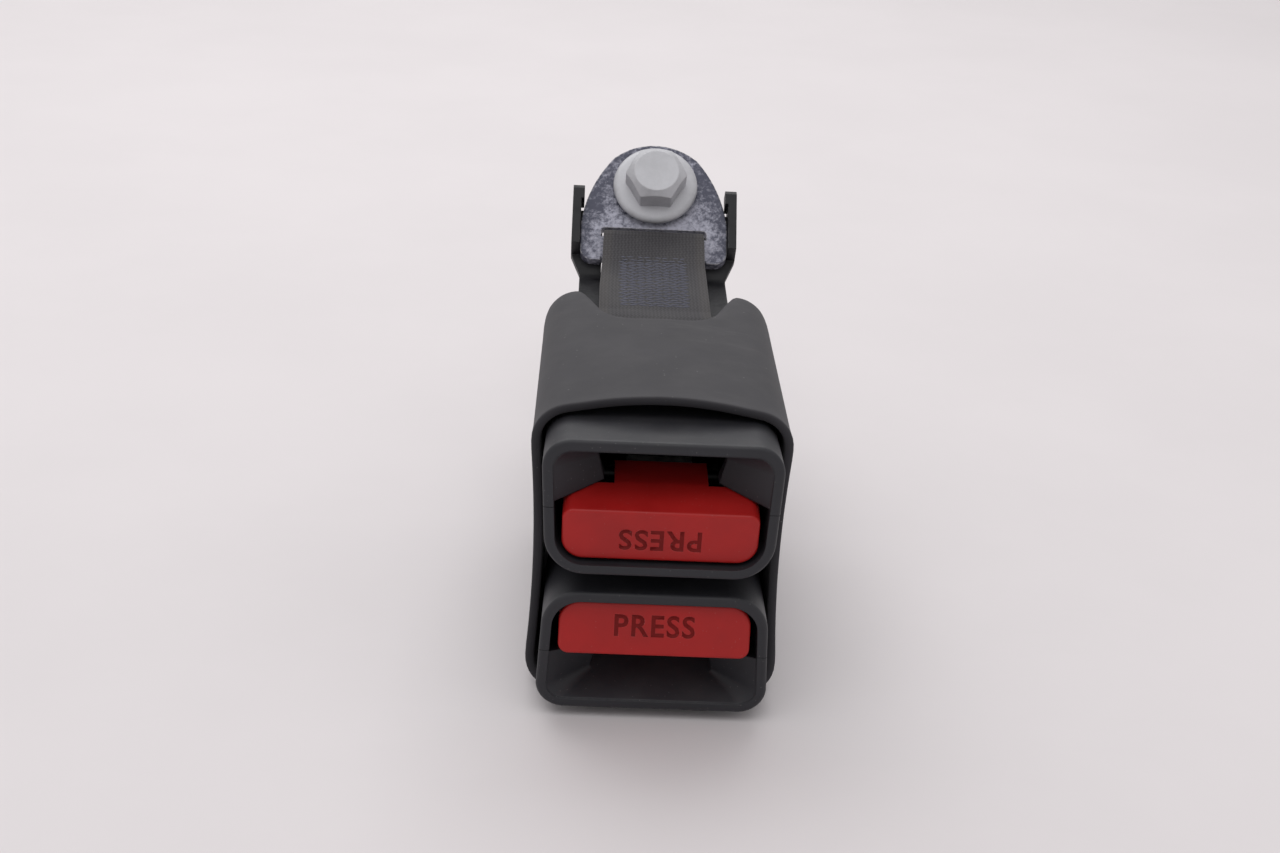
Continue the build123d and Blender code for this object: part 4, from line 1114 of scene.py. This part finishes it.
    def build(self) -> None:
        """Builds the sleeve and the web inside it."""
        total = sum(self.runs)
        bm = bmesh.new()
        layer = bm.verts.layers.int.new("column")
        ring = bmesh.ops.create_circle(bm, segments=2 * total, radius=1.0)["verts"]
        for v in ring:
            turn = math.atan2(v.co.x, -v.co.y)
            v[layer] = round(turn / math.pi * total)
        self.move(ring, layer, self.front, -self.lip_bead * 0.4)
        edges = list(bm.edges)
        for y in self.stations:
            bead = self.lip_bead * max(0.0, 1.0 - (y - self.front) / self.lip_reach)
            edges, ring = extrude_row(bm, edges)
            self.move(ring, layer, y, -bead)
        kept = total - self.runs[-1]
        end = self.notch_end()
        for back in (self.notch_support, 0.0):
            edges, ring = extrude_row(bm, edges)
            for v in ring:
                x = self.column(v[layer], self.notch_y, 0.0).x
                y = end if abs(v[layer]) <= kept else min(end, self.notch_bottom(x))
                v.co = self.column(v[layer], y - back, 0.0)
        edges = [e for e in edges if all(abs(v[layer]) <= kept for v in e.verts)]
        for y in self.rear_stations:
            edges, ring = extrude_row(bm, edges)
            self.move(ring, layer, y, 0.0)
        for i in range(1, self.rear_steps + 1):
            a = math.pi / 2 * i / self.rear_steps
            edges, ring = extrude_row(bm, edges)
            depth = self.rear - self.rear_round * (1 - math.sin(a))
            self.move(ring, layer, depth, self.rear_round * (1 - math.cos(a)))
        edges, ring = extrude_row(bm, edges)
        for v in ring:
            v.co = self.opening_point(v.co)
        bmesh.ops.recalc_face_normals(bm, faces=bm.faces)
        piece = place_piece(bm, "boot_sleeve", Matrix.Identity(4), 180.0)
        add_modifier(piece, "SOLIDIFY", thickness=self.wall * MM, offset=-1.0, use_even_offset=True)
        add_modifier(piece, "SUBSURF", levels=1, render_levels=1)
        settle(piece, "buckle_stack", self.finishes.rubber, ["boot"])
        self.build_web()

    def move(self, verts: Iterable, layer: object, y: float, inset: float) -> None:
        """Puts a row of vertices on the outline at a depth."""
        for v in verts:
            v.co = self.column(v[layer], y, inset)

    def build_web(self) -> None:
        """Builds the web between the two housings."""
        bm = bmesh.new()
        half = self.width / 2 - self.wall - self.waist + self.web_root
        length = self.web_y[1] - self.web_y[0]
        place = Matrix.Translation((0, sum(self.web_y) / 2, self.web_z)) @ Matrix.Diagonal(
            (2 * half, length, self.web_thickness, 1))
        bmesh.ops.create_cube(bm, size=1.0, matrix=place)
        edges = [e for e in bm.edges if abs(e.verts[0].co.x - e.verts[1].co.x) > half]
        bmesh.ops.bevel(bm, geom=edges, offset=self.web_round, segments=4, affect="EDGES", profile=0.5,
                        material=-1)
        piece = place_piece(bm, "boot_web", Matrix.Identity(4))
        settle(piece, "buckle_stack", self.finishes.rubber)


@dataclass
class Webbing:
    """The belt webbing: one strap through the anchor and both tails, sewn in the middle."""

    finishes: Finishes
    width: float = 27.0
    thickness: float = 1.2
    ply: float = 0.65                       # each ply's distance from the sewn middle
    pinch: float = 0.45                     # how much each edge draws in at the anchor's slot
    pinch_reach: float = 30.0
    lean: float = 0.35                      # how far the strap's middle strays to the left
    middle_z: float = ANCHOR_BAR[1]
    anchor_eye: Eye = (*ANCHOR_BAR, 4.65)
    upper_eye: Eye = (76.1, 59.45, 3.05)
    lower_eye: Eye = (78.1, 8.65, 3.05)
    sewn: Point2 = (94.0, 127.0)
    box_y: Point2 = (96.0, 129.0)
    box_half: float = 8.5
    stitch_rows: int = 27
    stitches_per_row: int = 8
    stitch_stray: float = 0.22
    stitch_slant: float = 0.32
    stitch_size: Triple = (0.56, 0.3, 0.16)      # length per step, breadth and height
    columns: int = 12
    edge_round: float = 0.35
    top_bend: float = 14.0                  # radius of the upper run's bends
    turn_down: float = 5.0                  # radius of the lower run's bends
    descent: tuple[Point2, ...] = ((86.6, 46.0), (87.6, 36.0), (88.7, 26.0), (89.5, 18.0))

    @staticmethod
    def touch(point: Point2, eye: Eye, side: int) -> float:
        """The angle at which a straight run from a point touches an eye's circle."""
        dy, dz = point[0] - eye[0], point[1] - eye[1]
        return math.atan2(dz, dy) + side * math.acos(eye[2] / math.hypot(dy, dz))

    @staticmethod
    def arc(eye: Eye, start: float, end: float, steps: int = 28) -> list[Point2]:
        """Points on an eye's circle."""
        angles = [start + (end - start) * i / steps for i in range(steps + 1)]
        return [(eye[0] + eye[2] * math.cos(a), eye[1] + eye[2] * math.sin(a)) for a in angles]

    @staticmethod
    def corner(before: Point2, at: Point2, after: Point2, radius: float, steps: int = 10) -> list[Point2]:
        """A rounded corner of the strap's run.

        Args:
            before: A point on the run before the corner.
            at: The corner.
            after: A point on the run after it.
            radius: The bend's radius.
            steps: Number of steps.

        Returns:
            Points (y, z) of the bend.
        """
        a = (Vector(before) - Vector(at)).normalized()
        b = (Vector(after) - Vector(at)).normalized()
        half = a.angle(b) / 2
        start = Vector(at) + a * (radius / math.tan(half))
        end = Vector(at) + b * (radius / math.tan(half))
        points = []
        for i in range(steps + 1):
            t = i / steps
            point = start.lerp(Vector(at), t).lerp(Vector(at).lerp(end, t), t)
            points.append((point.x, point.y))
        return points

    def route(self) -> list[Point2]:
        """The strap's whole run, from its end under the upper tail to its end over the lower one.

        Returns:
            Points (y, z) along its middle.
        """
        high, low = self.middle_z + self.ply, self.middle_z - self.ply
        up_y, up_z, _ = self.upper_eye
        low_y, low_z, _ = self.lower_eye
        under, over = (up_y + 7.0, up_z - self.ply), (up_y + 7.0, up_z + self.ply)
        start, end = self.touch(under, self.upper_eye, -1), self.touch(over, self.upper_eye, 1)
        points = [(up_y + 13.0, up_z - self.ply - 0.5), under]
        points += self.arc(self.upper_eye, start, end - 2 * math.pi)
        points += [over]
        points += self.corner(over, (up_y + 10.0, up_z + self.ply), (self.sewn[0], high), self.top_bend)
        points += self.corner((up_y + 10.0, up_z + self.ply), (self.sewn[0] - 1, high), (self.sewn[1], high),
                              self.top_bend)
        points += [(self.sewn[0] + 8 * i, high) for i in range(1, 4)] + [(self.sewn[1], high)]
        start = self.touch((self.sewn[1], high), self.anchor_eye, -1)
        end = self.touch((self.sewn[1], low), self.anchor_eye, 1)
        points += self.arc(self.anchor_eye, start, end - 2 * math.pi, 40)
        points += [(self.sewn[1], low)] + [(self.sewn[1] - 8 * i, low) for i in range(1, 4)]
        points += self.corner((self.sewn[1], low), (85.5, low), (90.5, low_z), self.turn_down)
        points += self.descent
        points += self.corner((85.5, low), (90.5, low_z - self.ply), (low_y + 7.0, low_z - self.ply),
                              self.turn_down)
        under, over = (low_y + 7.0, low_z - self.ply), (low_y + 7.0, low_z + self.ply)
        start, end = self.touch(under, self.lower_eye, -1), self.touch(over, self.lower_eye, 1)
        points += self.arc(self.lower_eye, start, end - 2 * math.pi)
        points += [over, (low_y + 9.5, low_z + self.ply)]
        return points

    def build(self) -> None:
        """Builds the strap and its stitching."""
        route = [Vector(p) for p in self.route()]
        lengths = [0.0]
        for a, b in zip(route, route[1:]):
            lengths.append(lengths[-1] + (b - a).length)
        bm = bmesh.new()
        bmesh.ops.create_grid(bm, x_segments=self.columns, y_segments=len(route) - 1, size=1.0)
        bm.verts.ensure_lookup_table()
        uv = bm.loops.layers.uv.new("strap")
        for face in bm.faces:
            for loop in face.loops:
                row = round((loop.vert.co.y + 1) / 2 * (len(route) - 1))
                loop[uv].uv = (loop.vert.co.x * self.width / 2, lengths[row])
        for v in bm.verts:
            row = round((v.co.y + 1) / 2 * (len(route) - 1))
            point = route[row]
            near = max(0.0, 1.0 - (Vector(point) - Vector(self.anchor_eye[:2])).length / self.pinch_reach)
            x = v.co.x * (self.width / 2 - self.pinch * near) - self.lean * (1.0 - near)
            v.co = Vector((x, point.x, point.y))
        piece = place_piece(bm, "belt_strap", Matrix.Identity(4), 180.0)
        add_modifier(piece, "SOLIDIFY", thickness=self.thickness * MM, offset=0.0, use_even_offset=True)
        add_modifier(piece, "BEVEL", width=self.edge_round * MM, segments=2, limit_method="ANGLE",
                     angle_limit=math.radians(60))
        settle(piece, "buckle_stack", self.finishes.webbing, ["webbing_strap"])
        self.build_stitches()

    def build_stitches(self) -> None:
        """Builds the sewn box: rows of slanted stitches on both faces of the strap."""
        bm = bmesh.new()
        span = self.box_y[1] - self.box_y[0]
        step_x = 2 * self.box_half / self.stitches_per_row
        height = self.ply + self.thickness / 2 + 0.02
        length, breadth, rise = self.stitch_size
        for face in (-1, 1):
            for row in range(self.stitch_rows):
                y = self.box_y[0] + span * row / (self.stitch_rows - 1)
                if face < 0 and y > self.sewn[1]:
                    continue
                for i in range(self.stitches_per_row):
                    stray = math.sin(12.9898 * i + 78.233 * row) * self.stitch_stray
                    x = -self.box_half + step_x * (i + 0.5 + stray) - self.lean
                    slant = (self.stitch_slant if (i + row) % 2 else -self.stitch_slant) + stray
                    z = self.middle_z + face * (height + self.rise(y))
                    place = (Matrix.Translation((x, y, z)) @ Matrix.Rotation(slant, 4, "Z")
                             @ Matrix.Diagonal((step_x * length, breadth, rise, 1)))
                    bmesh.ops.create_uvsphere(bm, u_segments=8, v_segments=5, radius=1.0, matrix=place)
        piece = place_piece(bm, "sewn_box", Matrix.Identity(4))
        settle(piece, "buckle_stack", self.finishes.thread)

    def rise(self, y: float) -> float:
        """How much higher the top ply runs at a depth where it opens to the anchor eye."""
        return max(0.0, y - self.sewn[1]) * 0.3


@dataclass
class Anchor:
    """The anchor plate with its bracket, bolt and washers, drawn on the plate's own plane."""

    finishes: Finishes
    hole_y: float = 17.8
    washer_top: float = 2.7
    flange_r: float = 11.1
    flange_t: float = 2.0
    across_flats: float = 14.0
    hex_top: float = 9.0
    crown_r: float = 5.8
    crown_cuts: int = 36
    shoulder_r: float = 6.3
    thread_r: float = 5.56
    thread_pitch: float = 1.27
    shoulder_l: float = 7.6
    shank_l: float = 24.0
    pilot_l: float = 3.0
    pilot_r: float = 4.2
    thread_crest: float = 0.06              # how far the crests lie inside the thread's radius
    thread_root: float = 0.72
    washer_r: float = 10.1
    washer_z: Point2 = (0.05, 1.05)         # the washer's underside and top over the plate
    washer_gap: float = 0.3
    washer_turn: float = 352.0              # degrees, the rest is its split

    def build(self) -> None:
        """Builds the bolt and washer and dresses the rest."""
        dress_node("anchor_plate", self.finishes.zinc_plate)
        dress_node("anchor_bracket", self.finishes.black_paint)
        dress_node("keeper_washer", self.finishes.nylon)
        self.build_bolt()
        self.build_washer()

    def build_bolt(self) -> None:
        """Builds the flanged hex bolt with its rolled thread."""
        bm = turned(self.bolt_profile(), 72)
        place = anchor_place() @ Matrix.Translation((0, self.hole_y, self.washer_top))
        piece = place_piece(bm, "bolt_shank_piece", place, 40.0)
        settle(piece, "bolt", self.finishes.bolt, ["anchor_bolt"])
        piece = place_piece(self.hex_head(), "bolt_head", place, 24.0)
        settle(piece, "bolt", self.finishes.bolt)

    def bolt_profile(self) -> list[Point2]:
        """Half the bolt's turned profile from the flange's middle to the pilot's tip.

        Returns:
            Points (radius, height) in millimetres, the flange's underside at 0.
        """
        r, t = self.flange_r, self.flange_t
        points = [(0.0, t + 1.0), (self.across_flats / 2 + 0.4, t + 0.35), (r - 1.4, t - 0.15),
                  (r - 0.6, t - 0.35), (r - 0.12, t - 0.85), (r, t - 1.25), (r - 0.1, 0.25),
                  (r - 0.35, 0.0), (self.shoulder_r, 0.0),
                  (self.shoulder_r, -self.shoulder_l + 0.3), (self.shoulder_r - 0.3, -self.shoulder_l)]
        z = -self.shoulder_l - 0.2
        end = -self.shank_l + self.pilot_l
        points.append((self.thread_r - 0.7, z))
        crest, root = self.thread_r - self.thread_crest, self.thread_r - self.thread_root
        while z - self.thread_pitch > end:
            points += [(crest, z - self.thread_pitch * 0.45), (crest, z - self.thread_pitch * 0.55),
                       (root, z - self.thread_pitch)]
            z -= self.thread_pitch
        points += [(self.pilot_r, end), (self.pilot_r - 0.1, end - 0.4),
                   (self.pilot_r - 0.6, -self.shank_l + 0.3),
                   (self.pilot_r - 0.9, -self.shank_l), (0.0, -self.shank_l)]
        return points

    def hex_head(self) -> bmesh.types.BMesh:
        """Builds the hex with its chamfered crown.

        Returns:
            The head in millimetres, above the flange.
        """
        bm = bmesh.new()
        corner_r = self.across_flats / 2 / math.cos(math.pi / 6)
        turn = Matrix.Rotation(math.pi / 6, 4, "Z")
        foot = self.flange_t + 0.2
        ring = bmesh.ops.create_circle(bm, segments=6, radius=corner_r, cap_ends=True,
                                       matrix=Matrix.Translation((0, 0, foot)) @ turn)["verts"]
        face = ring[0].link_faces[0]
        made = bmesh.ops.extrude_face_region(bm, geom=[face])["geom"]
        top = [g for g in made if isinstance(g, bmesh.types.BMVert)]
        bmesh.ops.translate(bm, verts=top, vec=(0, 0, self.hex_top - foot))
        upright = [e for e in bm.edges if abs(e.verts[0].co.z - e.verts[1].co.z) > 1]
        bmesh.ops.bevel(bm, geom=upright, offset=0.35, segments=3, affect="EDGES", profile=0.5, material=-1)
        # the crown: the head's corners are turned down by slanted cuts all round
        for i in range(self.crown_cuts):
            a = 2 * math.pi * i / self.crown_cuts
            outward = Vector((math.cos(a), math.sin(a), 0))
            bmesh.ops.bisect_plane(bm, geom=everything(bm), dist=1e-5,
                                   plane_co=outward * self.crown_r + Vector((0, 0, self.hex_top)),
                                   plane_no=(outward + Vector((0, 0, 1.1))).normalized(), clear_outer=True)
            rim = [e for e in bm.edges if e.is_boundary]
            if rim:
                bmesh.ops.edgeloop_fill(bm, edges=rim)
        bmesh.ops.recalc_face_normals(bm, faces=bm.faces)
        return bm

    def build_washer(self) -> None:
        """Builds the split spring washer under the flange."""
        bm = bmesh.new()
        inner, outer = self.shoulder_r + self.washer_gap, self.washer_r
        low, high = self.washer_z
        section = (Matrix.Translation(((inner + outer) / 2, 0, (low + high) / 2))
                   @ Matrix.Rotation(math.pi / 2, 4, "X")
                   @ Matrix.Diagonal((outer - inner, high - low, 1, 1)))
        bmesh.ops.create_grid(bm, x_segments=1, y_segments=1, size=0.5, matrix=section)
        bmesh.ops.bevel(bm, geom=list(bm.verts), offset=0.2, segments=2, affect="VERTICES", profile=0.5,
                        material=-1)
        bmesh.ops.spin(bm, geom=everything(bm), cent=(0, 0, 0), axis=(0, 0, 1),
                       angle=math.radians(self.washer_turn), steps=64, use_duplicate=False)
        bmesh.ops.recalc_face_normals(bm, faces=bm.faces)
        place = anchor_place() @ Matrix.Translation((0, self.hole_y, self.washer_top - 1.2))
        piece = place_piece(bm, "split_washer", place)
        settle(piece, "anchor", self.finishes.washer, ["spring_washer"])


# --------------------------------------------------------------------------- studio
@dataclass(frozen=True)
class Lamp:
    """A soft rectangular lamp: its place and size in metres and its strength in watts."""

    name: str
    place: Triple
    size: Point2
    watts: float


@dataclass
class Studio:
    """The pale floor, the soft lights and the camera."""

    floor_colour: Triple = (0.70, 0.665, 0.675)
    world_colour: tuple[float, float, float, float] = (1.0, 0.985, 0.99, 1.0)
    world_strength: float = 0.58
    lamps: tuple[Lamp, ...] = (Lamp("overhead", (-0.15, 0.55, 0.9), (1.2, 0.9), 6.6),
                               Lamp("front", (-0.1, -0.5, 1.0), (0.9, 0.6), 2.6))
    lamp_aim: Triple = (0, 0, 0.04)
    eye: Triple = (-16.42, -358.35, 231.87)
    pitch_deg: float = 24.23
    yaw_deg: float = 1.77
    roll_deg: float = 3.01
    focal_px: float = 2000.0
    image_px: tuple[int, int] = (1280, 853)

    def build(self) -> None:
        """Builds floor, lights and camera."""
        self.build_floor()
        self.build_light()
        self.build_camera()

    def build_floor(self) -> None:
        """Builds a plain pale floor."""
        bm = bmesh.new()
        bmesh.ops.create_grid(bm, x_segments=1, y_segments=1, size=3.0)
        floor = add_object("floor", closed_mesh(bm, "floor"))
        material, sheet, shader = start_material("floor_paint")
        place = sheet.add("TexCoord").outputs["Object"]
        tone = sheet.band(sheet.noise(place, 9.0, 5.0, 0.6), 0.3, 0.7)
        light = self.floor_colour
        dark = tuple(c * 0.97 for c in light)
        sheet.feed(shader, {"Base Color": sheet.blend(tone, dark, light), "Roughness": 0.8,
                            "Specular IOR Level": 0.2})
        floor.data.materials.append(material)

    def build_light(self) -> None:
        """Builds an even pale surround and the lamps."""
        world = bpy.data.worlds.new("surround")
        world.use_nodes = True
        background = world.node_tree.nodes["Background"]
        background.inputs[0].default_value = self.world_colour
        background.inputs[1].default_value = self.world_strength
        bpy.context.scene.world = world
        for lamp in self.lamps:
            self.add_lamp(lamp)

    def add_lamp(self, lamp: Lamp) -> None:
        """Adds one lamp, turned towards the part.

        Args:
            lamp: The lamp.
        """
        light = bpy.data.lights.new(lamp.name, "AREA")
        light.shape = "RECTANGLE"
        light.size, light.size_y = lamp.size
        light.energy = lamp.watts
        holder = add_object(lamp.name, light)
        holder.location = lamp.place
        aim = Vector(self.lamp_aim) - Vector(lamp.place)
        holder.rotation_euler = aim.to_track_quat("-Z", "Y").to_euler()

    def build_camera(self) -> None:
        """Builds the camera from its place and angles."""
        pitch, yaw, roll = (math.radians(a) for a in (self.pitch_deg, self.yaw_deg, self.roll_deg))
        ahead = Vector((math.sin(yaw) * math.cos(pitch), math.cos(yaw) * math.cos(pitch), -math.sin(pitch)))
        level = Vector((math.cos(yaw), -math.sin(yaw), 0.0))
        upright = level.cross(ahead)
        right = level * math.cos(roll) + upright * math.sin(roll)
        up = right.cross(ahead)
        data = bpy.data.cameras.new("camera")
        data.sensor_width = 36.0
        data.lens = self.focal_px / self.image_px[0] * data.sensor_width
        data.clip_start = 0.01
        camera = add_object("camera", data)
        camera.matrix_world = Matrix.Translation(stack_to_row() @ Vector(self.eye)) @ Matrix(
            (right, up, -ahead)).transposed().to_4x4()
        bpy.context.scene.camera = camera


def main() -> None:
    """Builds every sub-assembly in order."""
    logging.basicConfig(level=logging.INFO, format="%(name)s: %(message)s")
    bpy.context.scene.view_settings.view_transform = "Standard"
    finishes = Finishes.build()
    for side in Side:
        Buckle(finishes, side).build()
    Boot(finishes).build()
    Webbing(finishes).build()
    Anchor(finishes).build()
    Studio().build()


if __name__ == "__main__":
    main()
